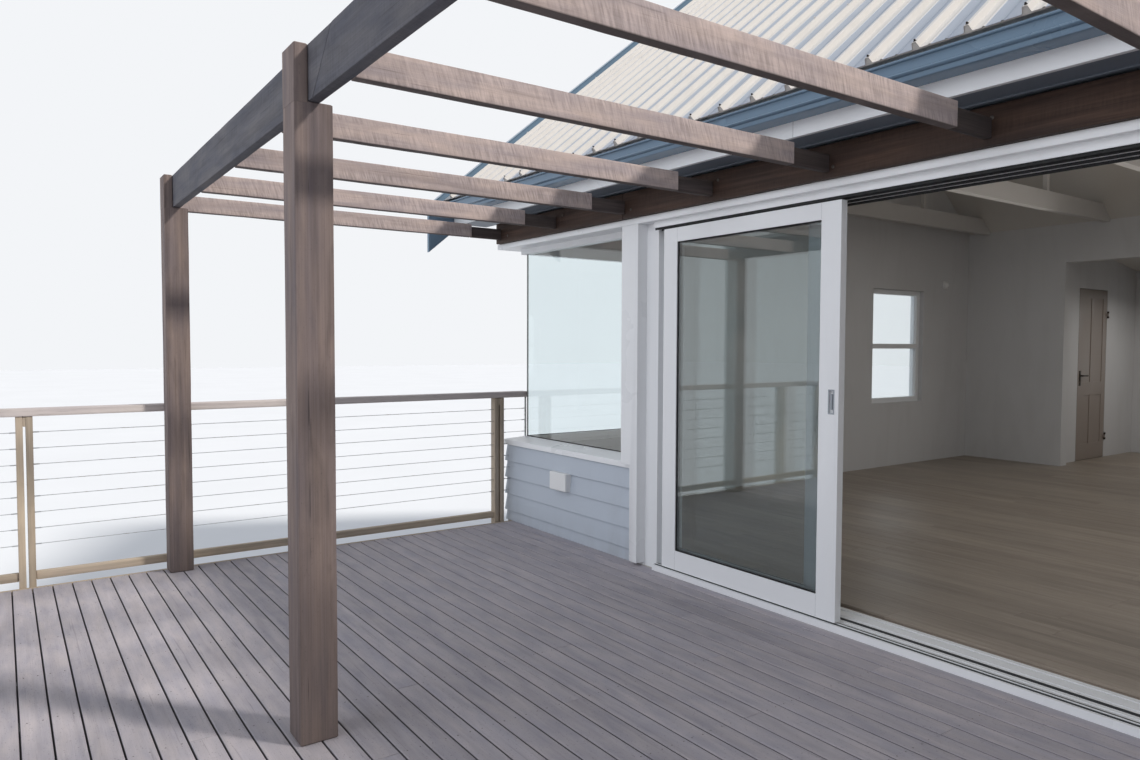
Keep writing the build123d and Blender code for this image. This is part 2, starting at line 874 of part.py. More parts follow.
def deck_boards():
    low = deck_top - deck_board_thickness
    return block(-half_deck, half_deck, -deck_front, front_face - deck_wall_gap, low, deck_top)


def deck_joists():
    top = deck_top - deck_board_thickness
    step = (2 * half_deck - joist_width) / (joist_count - 1)
    joists = []
    for index in range(joist_count):
        x = -half_deck + index * step
        joists.append(block(x, x + joist_width, -deck_front, front_face - deck_wall_gap,
                            top - joist_depth, top))
    return joists


def deck_bearers():
    top = deck_top - deck_board_thickness - joist_depth
    half = bearer_width / 2
    return [block(-half_deck, half_deck, y - half, y + half, top - bearer_depth, top)
            for y in bearer_places]


def deck_piles():
    top = deck_top - deck_board_thickness - joist_depth - bearer_depth
    half = pile_size / 2
    step = 2 * (half_deck - pile_inset) / (pile_count - 1)
    piles = []
    for y in bearer_places:
        for index in range(pile_count):
            x = -half_deck + pile_inset + index * step
            piles.append(block(x - half, x + half, y - half, y + half, 0, top))
    return piles


def deck_edge_boards():
    """A board around three sides of the deck."""
    outer = half_deck + edge_board_thickness
    low = deck_top - edge_board_depth
    side = block(-outer, -half_deck, -deck_front, front_face - deck_wall_gap, low, deck_top)
    front = block(-outer, outer, -deck_front - edge_board_thickness, -deck_front, low, deck_top)
    return side + mirrored(side) + front


# Pergola

def pergola_posts():
    """Posts with a shoulder for the beam, and a horn in front of it."""
    front = -post_front
    back = front + post_size
    shoulder = level(beam_bottom_height)
    top = level(beam_bottom_height + beam_depth)
    outline = [(front, deck_top), (back, deck_top), (back, shoulder),
               (beam_front, shoulder), (beam_front, top), (front, top)]
    half = post_size / 2
    posts = []
    for place in (post_outer_place, post_inner_place):
        posts += both_sides(along_x(outline, -place - half, -place + half))
    return posts


def pergola_beam():
    """A long beam, with the lines of its two scarf joints cut into all four faces."""
    low = level(beam_bottom_height)
    top = low + beam_depth
    beam = block(-beam_half_length, beam_half_length, beam_front, beam_back, low, top)
    line = [(-scarf_bottom_place, low), (-scarf_bottom_place + scarf_line, low),
            (-scarf_top_place + scarf_line, top), (-scarf_top_place, top)]
    inset = scarf_line_depth
    core = block(-beam_half_length, 0, beam_front + inset, beam_back - inset, low + inset, top - inset)
    cut = along_y(line, beam_front, beam_back) - core
    return beam - cut - mirrored(cut)


def rafters():
    """Rafters, each butted with a narrow gap against a stub fixed to the ledger."""
    low = level(beam_bottom_height)
    half = rafter_width / 2
    rafter_back = -rafter_stop - rafter_end_gap
    middle = low + cleat_depth / 2
    step = 2 * rafter_end_place / (rafter_count - 1)
    pieces = []
    for index in range(rafter_count):
        x = index * step - rafter_end_place
        rafter = block(x - half, x + half, beam_back, rafter_back, low, low + rafter_depth)
        stub = block(x - half, x - half + cleat_width, -rafter_stop, -ledger_front, low, low + cleat_depth)
        tenon = block(x - tenon_width / 2, x + tenon_width / 2, rafter_back, -rafter_stop,
                      middle - tenon_depth / 2, middle + tenon_depth / 2)
        pieces.append(rafter + tenon + stub)
    return pieces


def ledger():
    low = level(wall_head_height)
    return block(-ledger_half_length, ledger_half_length, -ledger_front, front_face, low, low + ledger_depth)


# Balustrade

def upright_pair(across, place, along):
    """Two uprights with spacers between, at a place along a side of the deck."""
    low = level(-upright_drop)
    top = level(rail_top_height) - rail_thickness
    gap = upright_gap / 2
    pieces = [(-gap - upright_width, -gap, low, top), (gap, gap + upright_width, low, top)]
    for z in (level(-upright_drop / 2), top - spacer_height / 2):
        pieces.append((-gap, gap, z - spacer_height / 2, z + spacer_height / 2))
    solids = []
    for start, end, z0, z1 in pieces:
        if along == "y":
            solids.append(block(across - upright_depth, across, place + start, place + end, z0, z1))
        else:
            solids.append(block(place + start, place + end, across - upright_depth, across, z0, z1))
    return solids


def bays(places):
    """Clear stretches between neighbouring pairs of uprights."""
    reach = upright_gap / 2 + upright_width
    ordered = sorted(places)
    return [(a + reach, b - reach) for a, b in zip(ordered, ordered[1:])]


def joined(pieces):
    shape = pieces[0]
    for piece in pieces[1:]:
        shape = shape + piece
    return shape


def balustrade_left():
    """The left side: uprights outside the edge board, a low rail and a top rail that runs over the sill."""
    face = -half_deck - edge_board_thickness
    middle = face - upright_depth / 2
    top = level(rail_top_height)
    pieces = [block(-rail_outer, -rail_outer + rail_width, -rail_front, end_bar_place + rail_past_bar,
                    top - rail_thickness, top)]
    for place in side_places:
        pieces += upright_pair(face, place, "y")
    low = level(low_rail_bottom_height)
    half = low_rail_width / 2
    for start, end in bays(side_places):
        pieces.append(block(middle - half, middle + half, start, end, low, low + low_rail_thickness))
    return joined(pieces)


def balustrade_front():
    face = -deck_front - edge_board_thickness
    middle = face - upright_depth / 2
    top = level(rail_top_height)
    inner = rail_outer - rail_width
    pieces = [block(-inner, inner, -rail_front, -rail_front + rail_width, top - rail_thickness, top)]
    for place in front_places:
        pieces += upright_pair(face, place, "x")
    low = level(low_rail_bottom_height)
    half = low_rail_width / 2
    for start, end in bays(front_places):
        pieces.append(block(start, end, middle - half, middle + half, low, low + low_rail_thickness))
    return joined(pieces)


def wire_levels():
    return [level(wire_bottom_height + index * wire_spacing) for index in range(wire_count)]


def wire(start, direction, length):
    """A stretch of wire, drawn with few sides."""
    section = Plane(origin=start, z_dir=direction) * RegularPolygon(wire_diameter / 2, wire_sides)
    return extrude(section, length)


def wire_end(z):
    """Where a wire beside the house stops: at the low wall, the sill's nose or the end bar."""
    if z < level(sill_bottom_height):
        return front_face
    if z < level(sill_edge_height):
        return sill_front
    return end_bar_place - end_bar_width / 2


def end_bar(middle):
    """The slim bar on the sill that holds the rail's end and the upper wires."""
    half = end_bar_width / 2
    bar = block(middle - half, middle + half, end_bar_place - half, end_bar_place + half,
                level(sill_edge_height), level(rail_top_height) - rail_thickness)
    return bar - window_sill()


def wires_left():
    middle = -half_deck - edge_board_thickness - upright_depth / 2
    last = first_pair_place + upright_gap / 2 + upright_width
    wires = [end_bar(middle)]
    for z in wire_levels():
        for start, end in bays(side_places) + [(last, wire_end(z))]:
            wires.append(wire((middle, start, z), (0, 1, 0), end - start))
    return wires


def wires_front():
    middle = -deck_front - edge_board_thickness - upright_depth / 2
    wires = []
    for start, end in bays(front_places):
        for z in wire_levels():
            wires.append(wire((start, middle, z), (1, 0, 0), end - start))
    return wires


# Outlet box

def outlet_box():
    low = level(outlet_bottom_height)
    left = outlet_from_corner - half_length
    box = block(left, left + outlet_width,
                front_face - outlet_depth, front_face, low, low + outlet_height)
    return fillet(box.edges().group_by(Axis.Y)[0], 8)


# All sub-parts

def main():
    os.makedirs("parts", exist_ok=True)
    save("base_walls", base_walls())
    save("floor", floor())
    save("low_walls", *low_walls())
    save("end_walls", *end_walls())
    save("rear_wall", rear_wall())
    save("upper_walls", upper_walls())
    save("inner_wall", inner_wall())
    save("hall_wall_sides", *hall_wall_sides())
    save("hall_wall_head", hall_wall_head())
    save("hall_door", hall_door())
    save("hall_door_hinges", *hall_door_hinges())
    save("roof_frame", roof_frame())
    save("roof_sheets", front_sheets(), back_sheets(), low_sheets())
    save("roof_flashings", ridge_cap(), break_flashing(), *barge_caps())
    save("barge_boards", *barge_boards())
    save("ceilings", *ceilings())
    save("fascias", fascia_front_board(), fascia_rear_board())
    save("soffit", soffit())
    save("gutters", gutter_front(), gutter_rear())
    save("tie_beams", *tie_beams())
    save("tie_struts", *tie_struts())
    save("window_sills", *both_sides(window_sill()))
    save("trim_posts", *trim_posts())
    save("head_trim", head_trim())
    save("door_frame", door_frame())
    leaf, hole = sliding_leaf()
    pane = leaf_pane(hole, leaf_front)
    save("sliding_leaf_left", leaf)
    save("sliding_leaf_right", mirrored(leaf))
    save("sliding_glass_left", pane)
    save("sliding_glass_right", mirrored(pane))
    fixed, fixed_hole = fixed_leaf()
    frames, panes = sashes()
    save("fixed_leaves", *both_sides(fixed))
    save("sash_frames", *frames)
    save("fixed_glass", *corner_glass(), *both_sides(leaf_pane(fixed_hole, fixed_leaf_front)), *panes)
    save("outlet_box", outlet_box())
    save("deck_boards", deck_boards())
    save("deck_joists", *deck_joists())
    save("deck_bearers", *deck_bearers())
    save("deck_piles", *deck_piles())
    save("deck_edge_boards", deck_edge_boards())
    save("pergola_posts", *pergola_posts())
    save("pergola_beam", pergola_beam())
    save("pergola_rafters", *rafters())
    save("ledger", ledger())
    save("balustrade_left", balustrade_left())
    save("balustrade_right", mirrored(balustrade_left()))
    save("balustrade_front", balustrade_front())
    save("wires_left", *wires_left())
    save("wires_right", *[mirrored(wire) for wire in wires_left()])
    save("wires_front", *wires_front())


main()
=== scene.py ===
"""Beach house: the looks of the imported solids, laid out as a Blender add-on and run as a script.

Metres, +Z up, in the frame of the solids. X runs along the front wall and Y into the house.
Heights written as DECK + h are levels above the deck. Every new piece is a profile carried
along a line or a grid of two parameters, worked out as whole numpy arrays.
"""
import math

import bmesh
import bpy
import numpy as np
from mathutils import Matrix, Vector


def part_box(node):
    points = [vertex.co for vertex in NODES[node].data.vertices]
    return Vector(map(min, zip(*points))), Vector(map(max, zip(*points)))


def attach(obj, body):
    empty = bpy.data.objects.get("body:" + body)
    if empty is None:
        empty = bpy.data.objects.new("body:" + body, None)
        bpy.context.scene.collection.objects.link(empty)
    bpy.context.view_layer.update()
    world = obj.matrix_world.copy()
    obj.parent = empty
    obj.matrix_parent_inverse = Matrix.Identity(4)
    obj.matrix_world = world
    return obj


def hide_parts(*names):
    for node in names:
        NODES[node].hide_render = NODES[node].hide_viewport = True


bl_info = {
    "name": "Beach House",
    "version": (1, 0, 0),
    "blender": (4, 5, 0),
    "location": "3D View > Sidebar > House",
    "description": "Timber, cladding, roof and glass details of a beach house",
    "category": "Object",
}

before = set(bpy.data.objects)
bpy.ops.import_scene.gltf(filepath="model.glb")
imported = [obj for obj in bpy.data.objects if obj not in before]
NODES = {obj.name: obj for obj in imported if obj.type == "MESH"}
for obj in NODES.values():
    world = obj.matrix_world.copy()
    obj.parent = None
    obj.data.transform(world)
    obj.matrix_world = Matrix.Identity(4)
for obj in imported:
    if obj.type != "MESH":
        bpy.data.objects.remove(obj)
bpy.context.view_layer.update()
LOW, HIGH = ({name: np.array(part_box(name)[end]) for name in NODES} for end in (0, 1))

X, Y, Z = 0, 1, 2
DECK = float(HIGH["deck_boards"][Z])
WALL_X = float(HIGH["end_walls"][X])
FRONT_Y = float(LOW["low_walls"][Y])
BACK_Y = float(HIGH["rear_wall"][Y])
CORNER_Y = float(HIGH["low_walls"][Y])
SILL_Z = float(LOW["window_sills"][Z])
ROOF_X = float(HIGH["roof_sheets"][X])
EAVES_Y, REAR_EAVES_Y = -0.47, 9.175
EAVES_Z = DECK + 2.56
WALL_HEAD = DECK + 2.2
SASH_WIDTH, SASH_LOW, SASH_HIGH = 0.975, DECK + 0.76, DECK + 2.05
END_SASH_Y, REAR_SASH_X = 5.022, 2.15
DOOR_X, TRIM_X, GLASS_X = 2.598, 2.671, 2.76


def linear(text):
    """An sRGB hex colour as the linear values that a shader takes."""
    values = np.array([int(text[i:i + 2], 16) for i in (1, 3, 5)]) / 255
    values = np.where(values <= 0.04045, values / 12.92, ((values + 0.055) / 1.055) ** 2.4)
    return (*values, 1.0)


# Sizes and colours a user would change

def length(name, description, default):
    """A length in metres that the panel's user may set."""
    return bpy.props.FloatProperty(name=name, description=description, default=default,
                                   min=0.0, precision=4, subtype="DISTANCE", unit="LENGTH")


def colour(name, description, default):
    """A colour that the user may set, from its hex value."""
    return bpy.props.FloatVectorProperty(name=name, description=description, default=linear(default),
                                         size=4, min=0.0, max=1.0, subtype="COLOR")


class TimberSizes(bpy.types.PropertyGroup):
    """Sizes of the outdoor timber."""
    plank_gap: length("Plank gap", "Gap between two deck planks", 0.0062)
    plank_pitch: length("Plank pitch", "Distance from plank to plank", 0.0949)
    plank_arris: length("Plank arris", "Radius of a plank's worn upper edges", 0.0035)
    arris: length("Arris", "Radius of the worn edges of posts and rafters", 0.004)
    wear: length("Wear", "How far sawn faces wander inwards", 0.0022)


class WallSizes(bpy.types.PropertyGroup):
    """Sizes of the wall cladding."""
    board_pitch: length("Board pitch", "Height that one cladding board shows", 0.132)
    board_start: length("Board start", "How far the lowest board's row starts below the deck", 0.052)
    board_butt: length("Board butt", "How far a board's lower edge stands out", 0.019)
    board_top: length("Board top", "How far a board's upper edge stands out", 0.004)
    architrave: length("Architrave", "Width of the boards round a sash window", 0.07)


class RoofSizes(bpy.types.PropertyGroup):
    """Sizes of the roof sheets."""
    rib_pitch: length("Rib pitch", "Distance between the sheets' ribs", 0.209)
    rib_height: length("Rib height", "How far the ribs stand up", 0.026)
    screw_pitch: length("Screw pitch", "Distance between rows of roof screws", 0.95)
    sheet: length("Sheet", "Thickness of the sheets", 0.0012)


class HouseColours(bpy.types.PropertyGroup):
    """Main colours of the finishes."""
    deck: colour("Deck", "Weathered deck planks", "#AFAAB0")
    rafter: colour("Rafters", "Sun-bleached rafters", "#B4A6A3")
    post: colour("Posts", "Grey-brown posts", "#7C706D")
    beam: colour("Beam", "Smoky grey beam", "#5E5E64")
    ledger: colour("Ledger", "Dark oiled timber along the wall", "#40312A")
    rail: colour("Rails", "Silver-grey top rail", "#C9C1BF")
    upright: colour("Uprights", "Light tan uprights", "#BFB19F")
    cladding: colour("Cladding", "Painted lap boards", "#BCC5D0")
    trim: colour("Trim", "White painted boards", "#EFF1F3")
    metal: colour("Frames", "White coated aluminium", "#F0F2F4")
    sheet: colour("Roof sheets", "Coated steel sheets", "#D8D4CF")
    flashing: colour("Gutters", "Blue-grey gutters and caps", "#6A8297")
    plaster: colour("Plaster", "Painted inner walls", "#D3D3D4")
    floor: colour("Floor", "Oiled floor planks", "#9D9286")


def sizes(kind):
    """The scene's group of sizes of one kind."""
    return getattr(bpy.context.scene, f"house_{kind}")


def colours():
    """The scene's colours by name, as linear values."""
    return {name: tuple(getattr(sizes("colours"), name)) for name in HouseColours.__annotations__}


# Meshes

class Shape:
    """The points and faces of a piece, with each point's place along its board and each board's tone, which
    on the roof sheets marks a painted shade.
    """

    def __init__(self):
        self.points, self.faces, self.grain, self.tone, self.count = [], [], [], [], 0

    def add(self, points, faces, grain=None, tone=None):
        """Takes up points and faces, whose grain is their own place and whose tone is even by default."""
        points = np.asarray(points, float).reshape(-1, 3)
        grain = points if grain is None else np.asarray(grain, float).reshape(-1, 3)
        tone = np.full(len(points), 0.5) if tone is None else np.asarray(tone, float).ravel()
        self.faces += [np.asarray(face) + self.count for face in faces]
        self.points.append(points)
        self.grain.append(grain)
        self.tone.append(tone)
        self.count += len(points)

    def loft(self, points, grain=None, tone=None, closed=False):
        """Quads between neighbouring rings of (solid, ring, round, xyz) points, capped or closed."""
        points = np.asarray(points, float)
        solids, rings, around = points.shape[:3]
        index = np.arange(solids * rings * around).reshape(solids, rings, around)
        here = index if closed else index[:, :-1]
        there = np.roll(index, -1, axis=1) if closed else index[:, 1:]
        quads = np.stack([here, np.roll(here, -1, 2), np.roll(there, -1, 2), there], axis=-1)
        faces = [quads.reshape(-1, 4)]
        if not closed:
            faces += [index[:, 0, ::-1], index[:, -1]]
        if tone is not None:
            tone = np.reshape(tone, (-1, 1, 1)) if np.ndim(tone) < 3 else tone
            tone = np.broadcast_to(tone, (solids, rings, around))
        self.add(points, faces, grain, tone)


def make_mesh(name, shape):
    """A mesh from whole arrays, with its normals turned outwards."""
    points = np.concatenate(shape.points)
    corners = np.concatenate([face.ravel() for face in shape.faces])
    counts = np.concatenate([np.full(len(face), face.shape[1]) for face in shape.faces])
    starts = np.concatenate([[0], np.cumsum(counts)[:-1]])
    mesh = bpy.data.meshes.new(name)
    mesh.vertices.add(len(points))
    mesh.vertices.foreach_set("co", points.astype(np.float32).ravel())
    mesh.loops.add(len(corners))
    mesh.loops.foreach_set("vertex_index", corners.astype(np.int32))
    mesh.polygons.add(len(starts))
    mesh.polygons.foreach_set("loop_start", starts.astype(np.int32))
    mesh.update(calc_edges=True)
    grain = mesh.attributes.new("grain", "FLOAT_VECTOR", "POINT")
    grain.data.foreach_set("vector", np.concatenate(shape.grain).astype(np.float32).ravel())
    tone = mesh.attributes.new("tone", "FLOAT", "POINT")
    tone.data.foreach_set("value", np.concatenate(shape.tone).astype(np.float32))
    turned = bmesh.new()
    turned.from_mesh(mesh)
    bmesh.ops.recalc_face_normals(turned, faces=turned.faces)
    turned.to_mesh(mesh)
    turned.free()
    return mesh


SHARP = math.radians(34)


def show(name, mesh, material, slot, body="house", replaces=(), bevel=0.0):
    """Links a finished mesh as a piece that rides on its body, softened by a bevel where one is given."""
    shown = bpy.data.objects.new(name, mesh)
    bpy.context.scene.collection.objects.link(shown)
    mesh.materials.clear()
    mesh.materials.append(material)
    mesh.polygons.foreach_set("use_smooth", np.ones(len(mesh.polygons), bool))
    mesh.set_sharp_from_angle(angle=SHARP)
    if bevel:
        edge = shown.modifiers.new("Arris", "BEVEL")
        edge.width, edge.segments, edge.limit_method = bevel, 2, "ANGLE"
        edge.angle_limit, edge.harden_normals = SHARP, True
    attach(shown, body)
    if replaces:
        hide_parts(*replaces)


def piece(name, shape, material, slot, **settings):
    """A shape's mesh, shown as a piece."""
    show(name, make_mesh(name, shape), material, slot, **settings)


def softened(name, node, bevel, material, slot, body="house"):
    """A merged copy of a solid with its edges eased, which stands for that solid."""
    copy = bmesh.new()
    copy.from_mesh(NODES[node].data)
    bmesh.ops.remove_doubles(copy, verts=copy.verts, dist=0.00002)
    bmesh.ops.dissolve_limit(copy, angle_limit=math.radians(0.5), verts=copy.verts, edges=copy.edges)
    mesh = bpy.data.meshes.new(name)
    copy.to_mesh(mesh)
    copy.free()
    show(name, mesh, material, slot, body=body, replaces=(node,), bevel=bevel)


def dress(material, *nodes):
    """Gives carried-over solids their material."""
    for node in nodes:
        if not NODES[node].material_slots:
            NODES[node].data.materials.append(material)
        for place in NODES[node].material_slots:
            place.material = material


def round_rectangle(half_a, half_b, radius, arc, side):
    """A rectangle with quarter-circle corners and points along its sides: offsets and outward directions.

    A corner point is the corner's centre plus the radius times (cos, sin) of an angle, and the
    points between two corners stand at equal shares of the straight side.
    """
    quarter = np.arange(4)[:, None] * np.pi / 2
    turn = quarter + np.linspace(0, np.pi / 2, arc + 1)
    sign_a, sign_b = np.sign(np.cos(quarter + np.pi / 4)), np.sign(np.sin(quarter + np.pi / 4))
    half_a, half_b, radius = (np.asarray(v, float)[..., None, None] for v in (half_a, half_b, radius))
    offsets = [sign_a * (half_a - radius) + radius * np.cos(turn),
               sign_b * (half_b - radius) + radius * np.sin(turn)]
    outward = np.stack([np.cos(turn), np.sin(turn)], -1)
    if side:
        share = np.arange(1, side + 1) / (side + 1)
        for k in (0, 1):
            last, first = offsets[k][..., -1:], np.roll(offsets[k], -1, axis=-2)[..., :1]
            offsets[k] = np.concatenate([offsets[k], last + (first - last) * share], axis=-1)
        square = np.concatenate([np.cos(quarter + np.pi / 2), np.sin(quarter + np.pi / 2)], -1)[:, None]
        outward = np.concatenate([outward, np.broadcast_to(square, (4, side, 2))], axis=1)
    offsets = [np.reshape(v, (*v.shape[:-2], -1)) for v in offsets]
    return offsets[0], offsets[1], outward.reshape(-1, 2)


def wander(random, along, around, waves=8):
    """Eight sine waves of random length, turn and phase, added up along and round a timber, from -1 to 1."""
    shape = (along.shape[0], 1, 1, waves)
    lengths = random.uniform(0.05, 0.8, shape)
    turns = random.integers(-2, 3, shape)
    phase = random.uniform(0, 2 * np.pi, shape)
    angle = 2 * np.pi * along[:, :, None, None] / lengths + turns * around[None, None, :, None] + phase
    return np.sin(angle).sum(-1) / waves


def timbers(shape, run, table, radius=0.003, step=50.0, wear=0.0, side=0, arc=2, lean=(0, 0), seed=1):
    """Straight timbers carried along one axis, from a table of their x0, x1, y0, y1, z0, z1.

    The two values of a pair may stand in either order. The profile is a rectangle with round corners.
    Rings stand at equal steps and are drawn in by the radius at both ends, lean slants the two ends,
    and wear draws each point in by wandering waves.
    """
    random = np.random.default_rng(seed)
    corners = np.sort(np.array(table, float).reshape(-1, 3, 2), axis=2)
    low, high = corners[..., 0], corners[..., 1]
    a, b = (run + 1) % 3, (run + 2) % 3
    middle, half = (low + high) / 2, (high - low) / 2
    span = high[:, run] - low[:, run]
    rings = max(2, int(math.ceil(span.max() / step)) + 1)
    along = radius + np.linspace(0, 1, rings) * (span[:, None] - 2 * radius)
    along = np.concatenate([np.zeros((len(span), 1)), along, span[:, None]], axis=1)
    drawn = np.zeros(rings + 2)
    drawn[[0, -1]] = radius
    off_a, off_b, outward = round_rectangle(half[:, a, None] - drawn, half[:, b, None] - drawn,
                                            np.full((len(span), rings + 2), radius), arc, side)
    around = np.linspace(0, 2 * np.pi, off_a.shape[-1], endpoint=False)
    out = -wear * (0.5 + 0.5 * wander(random, along, around))
    share = (along / span[:, None])[..., None]
    points = np.zeros((*off_a.shape, 3))
    points[..., run] = low[:, None, None, run] + along[..., None]
    points[..., run] += off_b * (lean[0] * (1 - share) + lean[1] * share)
    points[..., a] = middle[:, None, None, a] + off_a + out * outward[:, 0]
    points[..., b] = middle[:, None, None, b] + off_b + out * outward[:, 1]
    shift = random.uniform(0, 40, (len(span), 1, 1, 3))
    grain = points[..., [run, a, b]] + shift
    shape.loft(points, grain, random.random(len(span)))


def carried(shape, profile, starts, ends, run, rings=2, seed=1):
    """Profiles carried straight along one axis: each point goes from its start to its end in equal shares.

    profile holds (solid, point, 2) places on the other two axes, in their own order.
    """
    random = np.random.default_rng(seed)
    profile = np.asarray(profile, float)
    profile = profile if profile.ndim == 3 else profile[None]
    solids, around = max(len(profile), len(np.atleast_1d(starts))), profile.shape[1]
    starts, ends = (np.broadcast_to(np.reshape(v, (-1, 1)) if np.ndim(v) < 2 else v, (solids, around))
                    for v in (starts, ends))
    share = np.linspace(0, 1, rings)[None, :, None]
    others = [axis for axis in (X, Y, Z) if axis != run]
    points = np.zeros((solids, rings, around, 3))
    points[..., run] = starts[:, None] * (1 - share) + ends[:, None] * share
    points[..., others[0]] = profile[:, None, :, 0]
    points[..., others[1]] = profile[:, None, :, 1]
    grain = points[..., [run, *others]] + random.uniform(0, 40, (solids, 1, 1, 3))
    shape.loft(points, grain, random.random(solids))


SIGNS = np.array([[-1, -1], [1, -1], [1, 1], [-1, 1]])


def border(shape, low, high, profile, normal):
    """A mitred frame round a rectangle.

    The profile's first value goes outwards in the plane and its second is a place on the normal axis.
    """
    profile = np.asarray(profile, float)
    points = np.zeros((1, 4, len(profile), 3))
    for k, axis in enumerate(axis for axis in (X, Y, Z) if axis != normal):
        middle, half = (low[k] + high[k]) / 2, (high[k] - low[k]) / 2
        points[0, :, :, axis] = middle + SIGNS[:, k, None] * (half + profile[None, :, 0])
    points[0, :, :, normal] = profile[None, :, 1]
    shape.loft(points, closed=True)


def strip(width, thickness, start=0.0, ease=0.0):
    """A rectangular strip's profile with its two outer corners eased."""
    end = start + width
    return np.array([(start, 0.0), (end, 0.0), (end, thickness - ease), (end - ease, thickness),
                     (start + ease, thickness), (start, thickness - ease)])


def laid_on(profile, face, out):
    """A profile whose second value stands out from a face, to the side that out gives."""
    return np.stack([profile[:, 0], face + out * profile[:, 1]], 1)


def square_to(line):
    """Two unit directions square to each line and to one another."""
    helper = np.where(np.abs(line[:, 2:]) < 0.9, np.array([[0, 0, 1.0]]), np.array([[1.0, 0, 0]]))
    one = np.cross(line, helper)
    one /= np.linalg.norm(one, axis=1, keepdims=True)
    return one, np.cross(line, one)


def circles(line, sides):
    """Unit circles square to each line, as (line, side, xyz) directions."""
    one, two = square_to(line)
    turn = np.linspace(0, 2 * np.pi, sides, endpoint=False)[:, None]
    return np.cos(turn) * one[:, None] + np.sin(turn) * two[:, None]


def buttons(shape, places, normal, radius, height, sides=8, shoulder=0.6):
    """Small heads: rings of the given radius that stand along a normal and draw in at the top."""
    places = np.atleast_2d(places)
    normal = np.asarray(normal, float) / np.linalg.norm(normal)
    rings = np.array([(1.0, 0.0), (1.0, 0.55), (shoulder, 1.0)])[..., None, None]
    shape.loft(places[:, None, None, :] + rings[:, 0] * radius * circles(normal[None], sides)
               + rings[:, 1] * height * normal)


def rods(shape, starts, ends, radius, sides=8):
    """Round rods between pairs of points: a circle of the radius carried along the line."""
    starts, ends = np.atleast_2d(starts), np.atleast_2d(ends)
    line = (ends - starts) / np.linalg.norm(ends - starts, axis=1, keepdims=True)
    points = np.stack([starts, ends], 1)[:, :, None] + radius * circles(line, sides)[:, None]
    shape.loft(points, points - starts[:, None, None])


# Materials

RAMP, MIX = "ShaderNodeValToRGB", "ShaderNodeMix"
TINT = {"out": 2, "data_type": "RGBA"}
GRIME = linear("#7C776C")


def shade(tint, factor=1.0):
    """A linear colour from a hex colour, a grey or a linear colour, made darker or paler by a factor."""
    values = linear(tint) if isinstance(tint, str) else (tint,) * 3 if np.ndim(tint) == 0 else tint
    return (*np.clip(np.array(values[:3]) * factor, 0, 1), 1.0)


def add(tree, kind, inputs=(), stops=(), out=0, **settings):
    """A node with its settings, its inputs (values or other nodes' outputs) and its colour stops.

    It gives back one of the node's outputs, or nothing from a node that has none.
    """
    node = tree.nodes.new(kind)
    for name, value in settings.items():
        setattr(node, name, value)
    for socket, value in dict(inputs).items():
        if isinstance(value, bpy.types.NodeSocket):
            tree.links.new(value, node.inputs[socket])
        else:
            node.inputs[socket].default_value = value
    for k, (at, tint) in enumerate(stops):
        stop = node.color_ramp.elements[k] if k < 2 else node.color_ramp.elements.new(at)
        stop.position, stop.color = at, shade(tint)
    return node.outputs[out] if node.outputs else None


def new_material(name):
    """An empty material, its tree and its shader, or None for the tree where the name is taken."""
    if name in bpy.data.materials:
        return bpy.data.materials[name], None, None
    material = bpy.data.materials.new(name)
    material.use_nodes = True
    tree = material.node_tree
    tree.nodes.clear()
    surface = add(tree, "ShaderNodeBsdfPrincipled")
    add(tree, "ShaderNodeOutputMaterial", {"Surface": surface})
    return material, tree, surface.node.inputs


def finish(tree, shader, **sockets):
    """Links a surface's patterns to the shader's sockets and sets its plain values on them."""
    for name, value in sockets.items():
        socket = shader[name.replace("_", " ")]
        if isinstance(value, bpy.types.NodeSocket):
            tree.links.new(value, socket)
        else:
            socket.default_value = value


def variation(tree, run, size, detail=3.0, bend=0.0, rough=0.5, turn=0.0):
    """Natural variation whose spots measure size metres along, across and up the board, from 0 to 1.

    A run of None follows each board's own place, which its points carry; X, Y or Z draws the spots
    out along that axis of the house. A turn slants them over the board's face.
    """
    if run is None:
        source = add(tree, "ShaderNodeAttribute", out="Vector", attribute_name="grain")
    else:
        source = add(tree, "ShaderNodeTexCoord", out="Object")
    spots = add(tree, "ShaderNodeMapping", {"Vector": source, "Scale": np.roll(size, run or 0),
                                            "Rotation": (0, 0, turn)}, vector_type="TEXTURE")
    return add(tree, "ShaderNodeTexNoise", {"Vector": spots, "Scale": 1.0, "Detail": detail,
                                            "Distortion": bend, "Roughness": rough})


def below(tree, low, high, amount):
    """A share that is amount up to the low height and fades to nothing at the high one."""
    place = add(tree, "ShaderNodeTexCoord", out="Object")
    height = add(tree, "ShaderNodeSeparateXYZ", {0: place}, out="Z")
    return add(tree, "ShaderNodeMapRange", {"Value": height, "From Min": low, "From Max": high,
                                            "To Min": amount, "To Max": 0.0})


